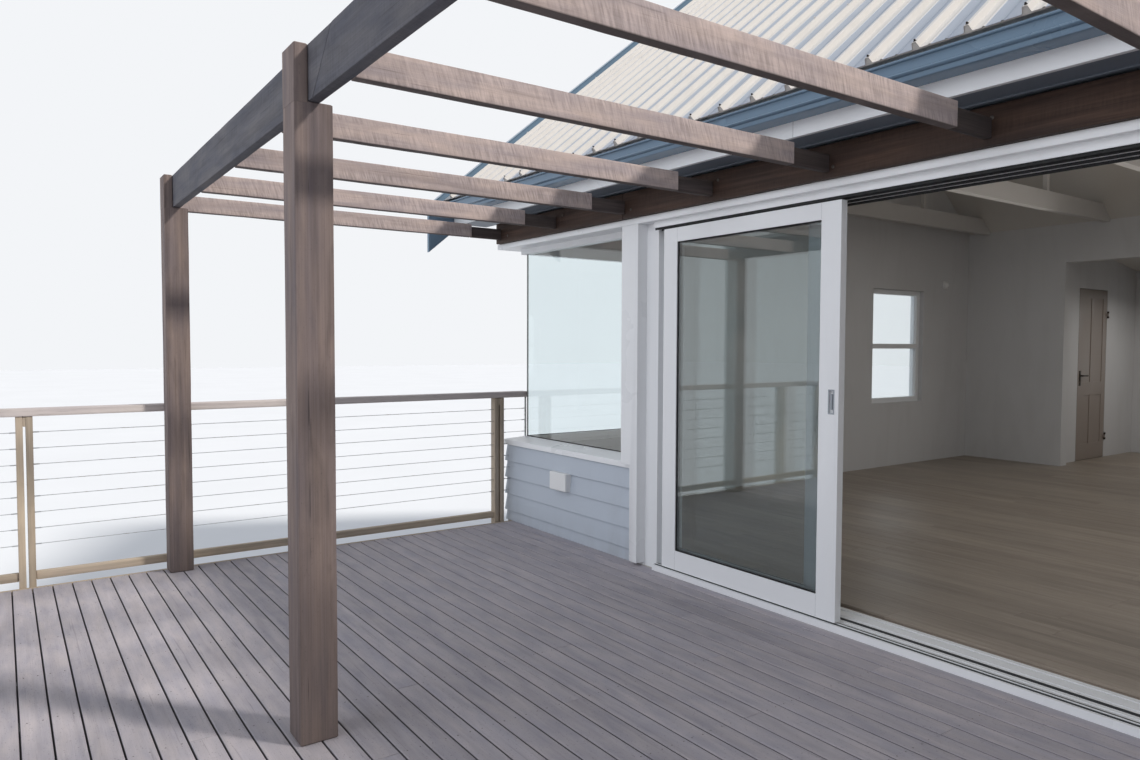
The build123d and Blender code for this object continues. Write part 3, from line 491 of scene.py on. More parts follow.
def weathered_timber(name, base, run=None, pale=1.22, dark=0.66, figure=(1.2, 0.03, 0.03), fibre=0.5,
                     blotch=0.5, spots=(0.4, 0.09, 0.09), checks=0.5, specks=0.0, saw=0.0, stain=0.0,
                     tone=0.1, rough=0.82, damp=None):
    """Softwood left to sun and rain: silvered fibres, darker growth rings, drying cracks, mould specks,
    saw marks, and cool and warm patches; darkened gives two heights between which it darkens downwards, a
    painted shade on plank flanks and rafter undersides.

    Fibres are 3 mm wide, growth rings about 30 mm, specks 5 mm and saw marks 9 mm apart, as the real
    ones are, which gives the eye a dry, furry grey-brown that follows each board's length.
    """
    material, tree, shader = new_material(name)
    if tree is None:
        return material
    rings = variation(tree, run, figure, 6, 0.7, 0.6)
    fibres = variation(tree, run, (0.2, 0.003, 0.003), 4, 0.0, 0.7)
    weather = variation(tree, run, spots, 4, 0.3)
    cracks = variation(tree, run, (0.5, 0.011, 0.011), 3, 0.3)
    body = add(tree, RAMP, {0: rings}, ((0.25, shade(base, dark)), (0.5, base), (0.78, shade(base, pale))))
    fine = add(tree, RAMP, {0: fibres}, ((0.3, 0.43), (0.7, 0.58)))
    body = add(tree, MIX, {0: fibre, 6: body, 7: fine}, blend_type="OVERLAY", **TINT)
    broad = add(tree, RAMP, {0: weather}, ((0.3, (0.33, 0.35, 0.40)), (0.7, (0.66, 0.63, 0.58))))
    body = add(tree, MIX, {0: blotch, 6: body, 7: broad}, blend_type="OVERLAY", **TINT)
    if run is None:
        board = add(tree, "ShaderNodeAttribute", out="Fac", attribute_name="tone")
        each = add(tree, RAMP, {0: board}, ((0.0, 1 - tone), (1.0, 1.0)))
        body = add(tree, MIX, {0: 1.0, 6: body, 7: each}, blend_type="MULTIPLY", **TINT)
    if stain:
        drips = variation(tree, run, (0.28, 0.07, 0.07), 5, 0.9)
        wet = add(tree, RAMP, {0: drips}, ((0.52, 0.0), (0.74, stain)))
        body = add(tree, MIX, {0: wet, 6: body, 7: shade(base, 0.42)}, **TINT)
    if specks:
        dots = variation(tree, run, (0.009, 0.005, 0.005), 2)
        mould = add(tree, RAMP, {0: dots}, ((0.64, 0.0), (0.72, specks)))
        body = add(tree, MIX, {0: mould, 6: body, 7: shade(base, 0.3)}, **TINT)
    split = add(tree, RAMP, {0: cracks}, ((0.67, 0.0), (0.71, checks)))
    body = add(tree, MIX, {0: split, 6: body, 7: shade(base, 0.2)}, **TINT)
    furrows = add(tree, MIX, {0: 0.5, 6: fibres, 7: rings}, **TINT)
    relief = add(tree, MIX, {0: split, 6: furrows, 7: shade(0.0)}, **TINT)
    normal = add(tree, "ShaderNodeBump", {"Height": relief, "Strength": 0.5, "Distance": 0.0016})
    if saw:
        marks = variation(tree, run, (0.009, 0.08, 0.08), 2, 0.4, turn=0.3)
        places = variation(tree, run, (0.5, 0.06, 0.06), 3)
        patch = add(tree, RAMP, {0: places}, ((0.4, 0.15 * saw), (0.62, saw)))
        strokes = add(tree, RAMP, {0: marks},
                      ((0.34, shade(base, 0.5)), (0.5, base), (0.66, shade(base, 1.4))))
        body = add(tree, MIX, {0: patch, 6: body, 7: strokes}, **TINT)
        normal = add(tree, "ShaderNodeBump", {"Height": marks, "Strength": 0.5, "Distance": 0.0014,
                                              "Normal": normal})
    # Darker downwards between two heights: painted shade on the deck planks' flanks and the rafters'
    # undersides; on the posts only a darker foot.
    if damp:
        body = add(tree, MIX, {0: below(tree, *damp), 6: body, 7: shade(base, 0.22)}, **TINT)
    dry = add(tree, RAMP, {0: fibres}, ((0.3, rough + 0.1), (0.7, rough - 0.1)))
    finish(tree, shader, Base_Color=body, Normal=normal, Roughness=dry, Specular_IOR_Level=0.3)
    return material


def painted_boards(name, base, run=X, dirt=0.1, rough=0.42, brush=0.3, soil=None):
    """Brushed exterior paint on boards: a soft gloss over 5 mm brush lines, with salt-dulled patches and
    a little grime that runs down, and below the soil level a greyer splash zone."""
    material, tree, shader = new_material(name)
    if tree is None:
        return material
    lines = variation(tree, run, (0.33, 0.005, 0.005), 3)
    patches = variation(tree, run, (0.6, 0.4, 0.4), 5, 0.3)
    runs = variation(tree, Z, (0.9, 0.17, 0.17), 5, 0.5, 0.62)
    body = add(tree, RAMP, {0: patches}, ((0.3, shade(base, 0.95)), (0.7, base)))
    streaks = add(tree, RAMP, {0: runs}, ((0.54, 0.0), (0.88, dirt)))
    body = add(tree, MIX, {0: streaks, 6: body, 7: GRIME}, **TINT)
    if soil is not None:
        spots = add(tree, RAMP, {0: runs}, ((0.3, 0.2), (0.7, 1.0)))
        splash = below(tree, soil, soil + 0.2, 0.26)
        low = add(tree, MIX, {0: 1.0, 6: spots, 7: splash}, blend_type="MULTIPLY", **TINT)
        body = add(tree, MIX, {0: low, 6: body, 7: linear("#6E675C")}, **TINT)
    normal = add(tree, "ShaderNodeBump", {"Height": lines, "Strength": brush, "Distance": 0.0006})
    sheen = add(tree, RAMP, {0: patches}, ((0.3, rough - 0.06), (0.75, rough + 0.12)))
    finish(tree, shader, Base_Color=body, Normal=normal, Roughness=sheen)
    return material


def coated_metal(name, base, rough=0.34, dirt=0.08, peel=0.12, rib_shade_tint=None):
    """Powder-coated aluminium or coated steel: an even, faintly pebbled skin whose 3 mm orange peel
    breaks the highlights, with rain-washed grime in soft runs, and a painted shadow where the tone marks a
    pan's strip beside a rib."""
    material, tree, shader = new_material(name)
    if tree is None:
        return material
    skin = variation(tree, X, (0.003, 0.003, 0.003), 2)
    patches = variation(tree, X, (0.77, 0.77, 0.77), 5, 0.4)
    runs = variation(tree, Z, (1.2, 0.11, 0.11), 5, 0.4, 0.6)
    body = add(tree, RAMP, {0: patches}, ((0.3, shade(base, 0.95)), (0.7, base)))
    # Painted shade: a blue-grey tint where the tone marks the strip of a pan beside the next rib, standing
    # for that rib's shadow.
    if rib_shade_tint:
        rib_shade = add(tree, "ShaderNodeAttribute", out="Fac", attribute_name="tone")
        body = add(tree, MIX, {0: rib_shade, 6: body, 7: linear(rib_shade_tint)}, **TINT)
    streaks = add(tree, RAMP, {0: runs}, ((0.54, 0.0), (0.88, dirt)))
    body = add(tree, MIX, {0: streaks, 6: body, 7: GRIME}, **TINT)
    normal = add(tree, "ShaderNodeBump", {"Height": skin, "Strength": peel, "Distance": 0.0003})
    sheen = add(tree, RAMP, {0: patches}, ((0.3, rough - 0.05), (0.75, rough + 0.12)))
    finish(tree, shader, Base_Color=body, Normal=normal, Roughness=sheen)
    return material


def plaster(name, base, coarse=1.0):
    """Trowelled plaster under flat paint: a chalky even tone with broad hollows of a hand's width and
    2 mm grit, so light rakes softly over it."""
    material, tree, shader = new_material(name)
    if tree is None:
        return material
    grit = variation(tree, X, np.full(3, 0.0024 * coarse), 3)
    hollows = variation(tree, X, (0.14, 0.14, 0.14), 3, 0.2)
    patches = variation(tree, X, (1.2, 1.2, 1.2), 5, 0.5)
    marks = variation(tree, Z, (0.8, 0.2, 0.2), 5, 0.6)
    body = add(tree, RAMP, {0: patches}, ((0.3, shade(base, 0.94)), (0.7, base)))
    worn = add(tree, RAMP, {0: marks}, ((0.5, 0.0), (0.9, 0.12 * coarse)))
    body = add(tree, MIX, {0: worn, 6: body, 7: GRIME}, **TINT)
    normal = add(tree, "ShaderNodeBump", {"Height": hollows, "Strength": 0.2, "Distance": 0.004})
    normal = add(tree, "ShaderNodeBump", {"Height": grit, "Strength": 0.3, "Distance": 0.0007 * coarse,
                                          "Normal": normal})
    chalk = add(tree, RAMP, {0: patches}, ((0.3, 0.78), (0.7, 0.92)))
    finish(tree, shader, Base_Color=body, Normal=normal, Roughness=chalk)
    return material


def oiled_floor(name, base):
    """Oiled oak planks: open grain about 4 mm wide under a low satin sheen that is dulled along the
    trodden stretches."""
    material, tree, shader = new_material(name)
    if tree is None:
        return material
    figure = variation(tree, None, (1.0, 0.06, 0.06), 6, 1.2, 0.6)
    pores = variation(tree, None, (0.07, 0.004, 0.004), 3)
    trodden = variation(tree, X, (1.4, 1.4, 1.4), 4)
    board = add(tree, "ShaderNodeAttribute", out="Fac", attribute_name="tone")
    body = add(tree, RAMP, {0: figure}, ((0.3, shade(base, 0.76)), (0.55, base), (0.8, shade(base, 1.2))))
    open_grain = add(tree, RAMP, {0: pores}, ((0.3, 0.38), (0.7, 0.58)))
    body = add(tree, MIX, {0: 0.4, 6: body, 7: open_grain}, blend_type="OVERLAY", **TINT)
    each = add(tree, RAMP, {0: board}, ((0.0, 0.8), (1.0, 1.0)))
    body = add(tree, MIX, {0: 1.0, 6: body, 7: each}, blend_type="MULTIPLY", **TINT)
    normal = add(tree, "ShaderNodeBump", {"Height": pores, "Strength": 0.22, "Distance": 0.0004})
    satin = add(tree, RAMP, {0: trodden}, ((0.3, 0.34), (0.7, 0.56)))
    finish(tree, shader, Base_Color=body, Normal=normal, Roughness=satin)
    return material


def float_glass(name, tint):
    """Clear float glass: colourless face on and faintly green through its depth, with a breath of salt
    on the outside that softens a reflection here and there."""
    material, tree, shader = new_material(name)
    if tree is None:
        return material
    salt = variation(tree, X, (0.45, 0.45, 0.45), 5, 0.6)
    haze = add(tree, RAMP, {0: salt}, ((0.45, 0.0), (0.9, 0.035)))
    body = add(tree, RAMP, {0: salt}, ((0.3, tint), (0.8, shade(tint, 0.985))))
    finish(tree, shader, Base_Color=body, Roughness=haze, IOR=1.5, Transmission_Weight=1.0)
    return material


def dark_rubber(name, base="#1B1D1F"):
    """Extruded rubber: a flat dark line round each pane, and along a door track a dark strip that paints the
    shade in its groove, dusty in places.
    """
    material, tree, shader = new_material(name)
    if tree is None:
        return material
    dust = variation(tree, X, (0.017, 0.017, 0.017), 4)
    normal = add(tree, "ShaderNodeBump", {"Height": dust, "Strength": 0.2, "Distance": 0.0003})
    finish(tree, shader, Base_Color=add(tree, RAMP, {0: dust}, ((0.4, base), (0.85, "#3A3B3A"))),
           Roughness=add(tree, RAMP, {0: dust}, ((0.3, 0.6), (0.7, 0.8))), Normal=normal)
    return material


def bare_steel(name, base="#B9BCBD", rough=0.3):
    """Drawn stainless or galvanised steel: bright, with 1 mm draw lines and tea-brown salt stains."""
    material, tree, shader = new_material(name)
    if tree is None:
        return material
    lines = variation(tree, Z, (0.05, 0.001, 0.001), 2)
    stains = variation(tree, X, (0.04, 0.04, 0.04), 4)
    normal = add(tree, "ShaderNodeBump", {"Height": lines, "Strength": 0.15, "Distance": 0.0002})
    finish(tree, shader, Base_Color=add(tree, RAMP, {0: stains}, ((0.55, base), (0.8, "#8E7C68"))),
           Roughness=add(tree, RAMP, {0: stains}, ((0.4, rough), (0.8, rough + 0.25))), Normal=normal,
           Metallic=1.0)
    return material


# Stage

CAMERA_PLACE = (1.345, -3.42, 2.45)
CAMERA_YAW, CAMERA_PITCH, CAMERA_ROLL = 54.955, -2.42, 0.185
CAMERA_LENS, CAMERA_SENSOR = 25.71, 36.0
SUN_FROM = (0.60, 0.50, 0.62)


def seen_white(tree, surface, white):
    """The lit world, and plain white where the camera, a gloss or a pane looks straight at it."""
    path = add(tree, "ShaderNodeLightPath").node
    seen = path.outputs["Is Camera Ray"]
    for kind in ("Is Glossy Ray", "Is Transmission Ray"):
        seen = add(tree, "ShaderNodeMath", {0: seen, 1: path.outputs[kind]}, operation="MAXIMUM")
    return add(tree, "ShaderNodeMixShader", {0: seen, 1: surface, 2: white})


def look_along(direction):
    """A turn that points an object's -Z along a direction."""
    back = -np.asarray(direction, float) / np.linalg.norm(direction)
    side = np.cross((0, 0, 1.0), back)
    side /= np.linalg.norm(side)
    return Matrix(np.array([side, np.cross(back, side), back]).T.tolist()).to_4x4()


def soft_light(name, kind, energy, tint, place, direction, **settings):
    """A studio light that neither the camera nor a pane or gloss sees as a shape."""
    data = bpy.data.lights.new(name, kind)
    data.energy, data.color = energy, linear(tint)[:3]
    for key, value in settings.items():
        setattr(data, key, value)
    light = bpy.data.objects.new(name, data)
    light.matrix_world = Matrix.Translation(place) @ look_along(direction)
    light.visible_camera = light.visible_glossy = light.visible_transmission = False
    bpy.context.scene.collection.objects.link(light)


def studio_world():
    """The soft pale light from all round, plain white to the eye."""
    world = bpy.data.worlds.new("Studio")
    bpy.context.scene.world = world
    world.use_nodes = True
    tree = world.node_tree
    tree.nodes.clear()
    soft = add(tree, "ShaderNodeBackground", {"Color": linear("#F1F4FA"), "Strength": 0.52})
    white = add(tree, "ShaderNodeBackground", {"Color": linear("#F3F5F8"), "Strength": 1.0})
    add(tree, "ShaderNodeOutputWorld", {"Surface": seen_white(tree, soft, white)})


def studio_lights():
    """A warm sun from the right and behind, a broad pale one from the front, and fills in the rooms."""
    soft_light("Soft key", "SUN", 3.0, "#FFF9F1", (0, 0, 9), -np.array(SUN_FROM), angle=math.radians(6))
    soft_light("Front fill", "SUN", 1.0, "#F3F7FF", (0, -9, 9), (-0.05, 1.0, -0.5),
               angle=math.radians(50))
    for name, energy, tint, place, aim, wide, deep in (
            ("Room fill", 45, "#FFFDFB", (0.3, 3.2, 3.7), (0, 0.05, -1.0), 6.0, 4.0),
            ("Ceiling fill", 26, "#FFF9F2", (0.3, 3.2, 3.72), (0, 0.05, 1.0), 6.0, 4.0),
            ("Hall fill", 13, "#FFFBF6", (-1.6, 7.6, 3.1), (0, -0.05, -1.0), 1.8, 1.2)):
        soft_light(name, "AREA", energy, tint, place, aim, shape="RECTANGLE", size=wide, size_y=deep)


def studio_floor(reach=90.0):
    """A wide pale floor whose tone barely drifts."""
    plane = bpy.data.meshes.new("Studio floor")
    corners = [(-reach, -reach, 0), (reach, -reach, 0), (reach, reach, 0), (-reach, reach, 0)]
    plane.from_pydata(corners, [], [(0, 1, 2, 3)])
    floor = bpy.data.objects.new("Studio floor", plane)
    bpy.context.scene.collection.objects.link(floor)
    material, tree, shader = new_material("Pale studio floor")
    clouds = variation(tree, X, (2.5, 2.5, 2.5))
    finish(tree, shader, Base_Color=add(tree, RAMP, {0: clouds}, ((0.3, "#E3E6EA"), (0.7, "#E6E9ED"))),
           Roughness=0.9, Specular_IOR_Level=0.0)
    plane.materials.append(material)


def photo_camera():
    """The camera at the photograph's place on the deck."""
    camera = bpy.data.objects.new("Camera", bpy.data.cameras.new("Camera"))
    camera.data.lens, camera.data.sensor_width = CAMERA_LENS, CAMERA_SENSOR
    camera.data.clip_start, camera.data.clip_end = 0.02, 400
    turn = (Matrix.Rotation(math.radians(CAMERA_YAW), 4, "Z")
            @ Matrix.Rotation(math.radians(90 + CAMERA_PITCH), 4, "X")
            @ Matrix.Rotation(math.radians(CAMERA_ROLL), 4, "Z"))
    camera.matrix_world = Matrix.Translation(CAMERA_PLACE) @ turn
    bpy.context.scene.collection.objects.link(camera)
    bpy.context.scene.camera = camera


def build_stage():
    """The pale studio floor, the soft lights and the camera at the photograph's place."""
    bpy.context.scene.view_settings.view_transform = "Standard"
    studio_world()
    studio_lights()
    studio_floor()
    photo_camera()


# Finishes that several pieces share

def white_paint():
    """The gloss paint of all the white boards."""
    return painted_boards("White gloss trim paint", colours()["trim"], dirt=0.03, rough=0.3)


def soffit_paint():
    """The mid-grey paint of the soffit and its bead."""
    return painted_boards("Mid-grey soffit paint", "#757E89", rough=0.5)


def white_metal():
    """The coated aluminium of door leaves, frames and sashes."""
    return coated_metal("White coated aluminium", colours()["metal"], 0.3, 0.04)


def white_plastic():
    """The moulded plastic of the small fittings on the walls."""
    return coated_metal("Moulded white plastic", "#E9EAEA", 0.38, 0.08)


def clear_glass():
    """The glass of every pane."""
    return float_glass("Clear float glass", "#F5FBFC")


def inner_plaster():
    """The painted plaster inside the rooms."""
    return plaster("Painted inner plaster", colours()["plaster"])


# Deck

BUTT_JOISTS = (6, 11, 8, 5, 10, 7, 12, 9)
JOIST_PLAY = 0.006
EDGE_BOARD = 0.031


def plank_section(timber, half, thick):
    """A plank's section as (across, up) points: its cupped top, its worn edges and its flanks.

    Low down the flanks stand out to the middle of the gap, as the grit packed in it does.
    """
    worn, grit, lip = 0.0007, -0.024, timber.plank_gap / 2 - 0.0003
    turn = np.linspace(0, np.pi / 2, 4)[1:]
    round_off, round_in = timber.plank_arris * (1 - np.cos(turn)), timber.plank_arris * (1 - np.sin(turn))
    across = np.linspace(-1, 1, 9) * (half - timber.plank_arris)
    cup = -worn * (1 - (across / half) ** 2)
    edge = np.stack([half - round_in, -round_off], 1)
    flank = np.array([(half - worn, grit), (half + lip, grit - 0.001), (half + lip, -thick)])
    side = np.concatenate([edge, flank])
    return np.concatenate([np.stack([across, cup], 1), side, (side * (-1, 1))[::-1]])


def deck_screws(random, joists, joint, middle, top):
    """Pairs of sunk screws wherever a row crosses a joist away from its own joint."""
    slip, apart, sunk = 0.003, 0.026, 0.0018
    crossings = np.meshgrid(joists, np.arange(len(middle)), (-apart, apart), indexing="ij")
    x, row, offset = np.stack(crossings, -1).reshape(-1, 3).T
    row = row.astype(int)
    spots = np.stack([x + random.uniform(-slip, slip, len(x)),
                      middle[row] + offset + random.uniform(-slip, slip, len(x)),
                      np.full(len(x), top - sunk)], 1)
    screws, clear = Shape(), np.abs(x - joint[row]) >= JOIST_PLAY
    buttons(screws, spots[clear], (0, 0, 1), 0.0032, 0.0014, sides=7, shoulder=0.8)
    piece("Deck_screws", screws, bare_steel("Stained deck screw", "#7A7674", 0.5), "steel_fittings")


def deck_edges():
    """The boards round the deck's edge, and the plain timber under it."""
    timber, paint = sizes("timber"), colours()
    low, high = LOW["deck_edge_boards"], HIGH["deck_edge_boards"]
    front, side = (low[Y], low[Y] + EDGE_BOARD), (low[Y] + EDGE_BOARD, high[Y], low[Z], high[Z])
    worn = {"radius": 0.003, "step": 0.5, "wear": timber.wear, "side": 3}
    edges = Shape()
    timbers(edges, X, (low[X], high[X], *front, low[Z], high[Z]), **worn, seed=5)
    timbers(edges, Y, [(low[X], low[X] + EDGE_BOARD, *side), (high[X] - EDGE_BOARD, high[X], *side)],
            **worn, seed=6)
    grey = weathered_timber("Grey edge board timber", paint["upright"], pale=1.15, dark=0.75, stain=0.2)
    piece("Deck_edge_boards", edges, grey, "weathered_deck", replaces=("deck_edge_boards",))
    for node, name, run in (("deck_joists", "Shaded joist timber", Y),
                            ("deck_bearers", "Shaded bearer timber", X),
                            ("deck_piles", "Weathered pile timber", Z)):
        dress(weathered_timber(name, shade(paint["post"], 0.9), run=run, checks=0.3), node)


def build_deck():
    """Smooth planks that butt over the joists in shifted rows, with their screws, edge boards and frame."""
    timber, random, butt_gap = sizes("timber"), np.random.default_rng(11), 0.0009
    low, high = LOW["deck_boards"], HIGH["deck_boards"]
    rows = int((high[Y] - low[Y]) // timber.plank_pitch)
    pitch = (high[Y] - low[Y] + timber.plank_gap) / rows
    half = (pitch - timber.plank_gap) / 2
    joists = np.linspace(low[X] + JOIST_PLAY, high[X] - JOIST_PLAY, 18)
    joint = joists[np.array(BUTT_JOISTS)[np.arange(rows) % len(BUTT_JOISTS)]]
    middle = low[Y] + half + np.arange(rows) * pitch
    starts = np.concatenate([np.full(rows, low[X]), joint + butt_gap])
    ends = np.concatenate([joint - butt_gap, np.full(rows, high[X])])
    lift = random.uniform(-0.0008, 0, 2 * rows)
    section = plank_section(timber, half, high[Z] - low[Z])
    profile = np.stack([np.tile(middle, 2)[:, None] + section[:, 0],
                        high[Z] + lift[:, None] + section[:, 1]], -1)
    planks = Shape()
    carried(planks, profile, starts, ends, X, rings=8, seed=3)
    # The flanks from 2 mm below the top down are painted nearly black: painted shade in the gaps between the
    # planks.
    silvered = weathered_timber("Silvered deck timber", colours()["deck"], pale=1.1, dark=0.86,
                                figure=(0.9, 0.06, 0.06), fibre=0.35, blotch=0.38, spots=(0.2, 0.06, 0.06),
                                checks=0.25, specks=0.55, stain=0.1, tone=0.12, rough=0.78,
                                damp=(DECK - 0.0045, DECK - 0.002, 0.93))
    piece("Deck_planks", planks, silvered, "weathered_deck", replaces=("deck_boards",))
    deck_screws(random, joists, joint, middle, high[Z])
    deck_edges()


# Pergola

def pergola_posts():
    """Sawn posts with a horn in front of the beam, darker towards their feet."""
    timber, step, inner, housed = sizes("timber"), 0.09, 1.529, 0.01
    low, high, beam = LOW["pergola_posts"], HIGH["pergola_posts"], LOW["pergola_beam"]
    half = (high[Y] - low[Y]) / 2
    posts, places = Shape(), (low[X] + half, -inner, inner, high[X] - half)
    timbers(posts, Z, [(x - half, x + half, low[Y], high[Y], low[Z], beam[Z]) for x in places],
            timber.arris, step, timber.wear, 4, seed=21)
    timbers(posts, Z, [(x - half, x + half, low[Y], beam[Y], beam[Z] - housed, high[Z]) for x in places],
            timber.arris, step, timber.wear * 0.4, 3, seed=22)
    grey_brown = weathered_timber("Grey-brown post timber", colours()["post"], pale=1.3, dark=0.66,
                                  figure=(2.6, 0.022, 0.022), blotch=0.7, spots=(0.5, 0.07, 0.07), checks=0.6,
                                  specks=0.3, stain=0.35, tone=0.05, damp=(DECK, DECK + 1.3, 0.3))
    piece("Pergola_posts", posts, grey_brown, "weathered_timber", replaces=("pergola_posts",))


def pergola_beam():
    """The beam in three lengths that meet in slanting scarf joints beside the inner posts."""
    timber, low, high = sizes("timber"), LOW["pergola_beam"], HIGH["pergola_beam"]
    bottom, top, gap = 1.42, 1.225, 0.0012
    slant, middle = (bottom - top) / (high[Z] - low[Z]), (bottom + top) / 2
    spans = ((low[X], -middle - gap, 0, slant), (-middle + gap, middle - gap, slant, -slant),
             (middle + gap, high[X], -slant, 0))
    beam = Shape()
    for k, (start, end, *lean) in enumerate(spans):
        timbers(beam, X, (start, end, low[Y], high[Y], low[Z], high[Z]), timber.arris, 0.11, timber.wear, 4,
                lean=lean, seed=31 + k)
    smoky = weathered_timber("Smoky grey beam timber", colours()["beam"], pale=1.25, dark=0.72,
                             figure=(1.2, 0.05, 0.05), blotch=0.75, spots=(0.3, 0.08, 0.08), checks=0.4,
                             specks=0.3, saw=0.25, stain=0.35, tone=0.12)
    piece("Pergola_beam", beam, smoky, "weathered_timber", replaces=("pergola_beam",))


def pergola_rafters():
    """Rough-sawn rafters, and behind each the short stub on the ledger with a tenon between them."""
    wear, low, high = sizes("timber").wear, LOW["pergola_rafters"], HIGH["pergola_rafters"]
    half, rafter_end, stub_start, stub_end = 0.0225, -0.434, -0.430, -0.170
    stub_side, stub_tall, tenon_half, tenon = 0.0125, 0.082, 0.009, (rafter_end - 0.002, stub_start + 0.002)
    foot, end_place, count = float(low[Z]), (high[X] - low[X]) / 2 - half, 12
    places = np.linspace(-end_place, end_place, count)
    rafters, ends = Shape(), Shape()
    timbers(rafters, Y, [(x - half, x + half, low[Y], rafter_end, low[Z], high[Z]) for x in places],
            0.0035, 0.03, wear, 4, seed=41)
    # The undersides up to 6 mm are painted nearly black: painted shade under the rafters.
    bleached = weathered_timber("Sun-bleached rafter timber", colours()["rafter"], pale=1.12, dark=0.8,
                                figure=(1.0, 0.03, 0.03), blotch=0.6, spots=(0.3, 0.06, 0.06), checks=0.4,
                                specks=0.25, saw=0.42, stain=0.35, tone=0.14,
                                damp=(foot + 0.001, foot + 0.006, 0.93))
    piece("Pergola_rafters", rafters, bleached, "weathered_timber", replaces=("pergola_rafters",))
    timbers(ends, Y, [(x - half, x + stub_side, stub_start, stub_end, foot, foot + stub_tall)
                      for x in places], 0.003, 0.03, wear * 0.6, 3, seed=42)
    timbers(ends, Y, [(x - tenon_half, x + tenon_half, *tenon, foot + 0.016, foot + 0.066) for x in places],
            0.001, 0.03, seed=43)
    # The stubs are half as dark as the posts.
    damp = weathered_timber("Damp stub timber", shade(colours()["post"], 0.5), pale=1.5, checks=0.4, tone=0.3)
    piece("Rafter_stubs", ends, damp, "weathered_timber")


def pergola_ledger():
    """The dark timber along the wall in three lengths, with a bolt high or low beside each stub."""
    low, high = LOW["ledger"], HIGH["ledger"]
    joint, seams, inset, bolt_count = 0.0008, (low[X], -2.716, 1.62, high[X]), 0.18, 12
    ledger, bolts = Shape(), Shape()
    lengths = [(a + joint, b - joint, low[Y], high[Y], low[Z], high[Z]) for a, b in zip(seams, seams[1:])]
    timbers(ledger, X, lengths, 0.004, 0.12, sizes("timber").wear * 0.6, 4, seed=51)
    oiled = weathered_timber("Dark oiled ledger timber", colours()["ledger"], pale=1.9, dark=0.6,
                             figure=(0.9, 0.025, 0.025), blotch=0.8, checks=0.3, specks=0.2, saw=0.3,
                             stain=0.25, tone=0.1, rough=0.6)
    piece("Ledger", ledger, oiled, "dark_red_timber", replaces=("ledger",))
    heights = low[Z] + 0.05 + 0.06 * (np.arange(bolt_count) % 2)
    spots = np.stack([np.linspace(low[X] + inset, high[X] - inset, bolt_count),
                      np.full(bolt_count, low[Y] + 0.001), heights], 1)
    buttons(bolts, spots, (0, -1, 0), 0.009, 0.005)
    piece("Ledger_bolts", bolts, bare_steel("Dull galvanised bolt", "#6F6A66", 0.5), "steel_fittings")


def build_pergola():
    """Posts with their horns, the scarfed beam, the rafters with their stubs, and the ledger."""
    pergola_posts()
    pergola_beam()
    pergola_rafters()
    pergola_ledger()


# Balustrade

UPRIGHT_DEEP, UPRIGHT_WIDE, UPRIGHT_GAP, RAIL_DEEP = 0.065, 0.036, 0.012, 0.045
PAIR_REACH = UPRIGHT_WIDE + UPRIGHT_GAP / 2
RAIL_TOP = float(HIGH["balustrade_front"][Z])


def balustrade_timber(name, run, out, face, places):
    """One side's pairs of uprights with spacers between them, its low rails and its broad top rail."""
    wear, node, half_gap = sizes("timber").wear, f"balustrade_{name}", UPRIGHT_GAP / 2
    edge, middle = (out * face, out * (face + UPRIGHT_DEEP)), out * (face + UPRIGHT_DEEP / 2)
    foot, head = float(LOW["balustrade_front"][Z]), RAIL_TOP - RAIL_DEEP
    inside, tall = (edge[0] + out * 0.003, edge[1] - out * 0.003), 0.028
    uprights = [(*pair, *edge, foot, head) for at in places
                for pair in ((at - PAIR_REACH, at - half_gap), (at + half_gap, at + PAIR_REACH))]
    spacers = [(at - half_gap, at + half_gap, *inside, z - tall, z + tall)
               for at in places for z in (DECK - 0.09, head - 0.03)]
    low_rail = (middle - 0.02, middle + 0.02, DECK + 0.035, DECK + 0.083)
    rails = [(a, b, *low_rail) for a, b in zip(places + PAIR_REACH, places[1:] - PAIR_REACH)]
    order = [0, 1, 2, 3, 4, 5] if run == X else [2, 3, 0, 1, 4, 5]
    uprights, spacers, rails = (np.array(table)[:, order] for table in (uprights, spacers, rails))
    posts, cap = Shape(), Shape()
    timbers(posts, Z, uprights, 0.003, 0.2, wear * 0.5, 2, seed=61)
    timbers(posts, Z, spacers, 0.001, 1, seed=62)
    timbers(posts, run, rails, 0.003, 0.25, wear * 0.5, 2, seed=63)
    tan = weathered_timber("Light tan upright timber", colours()["upright"], pale=1.15, dark=0.75, blotch=0.4,
                           figure=(1.5, 0.02, 0.02), checks=0.4, stain=0.2, tone=0.2)
    piece(f"Balustrade_uprights_{name}", posts, tan, "weathered_timber", replaces=(node,))
    low, high = LOW[node], HIGH[node]
    timbers(cap, run, (low[X], high[X], low[Y], high[Y], head, RAIL_TOP), 0.005, 0.12, wear * 0.6, 3, seed=64)
    silver = weathered_timber("Silver-grey rail timber", colours()["rail"], pale=1.12, dark=0.8, blotch=0.4,
                              figure=(1.5, 0.02, 0.02), checks=0.4, stain=0.2, tone=0.05)
    piece(f"Balustrade_rail_{name}", cap, silver, "weathered_timber")


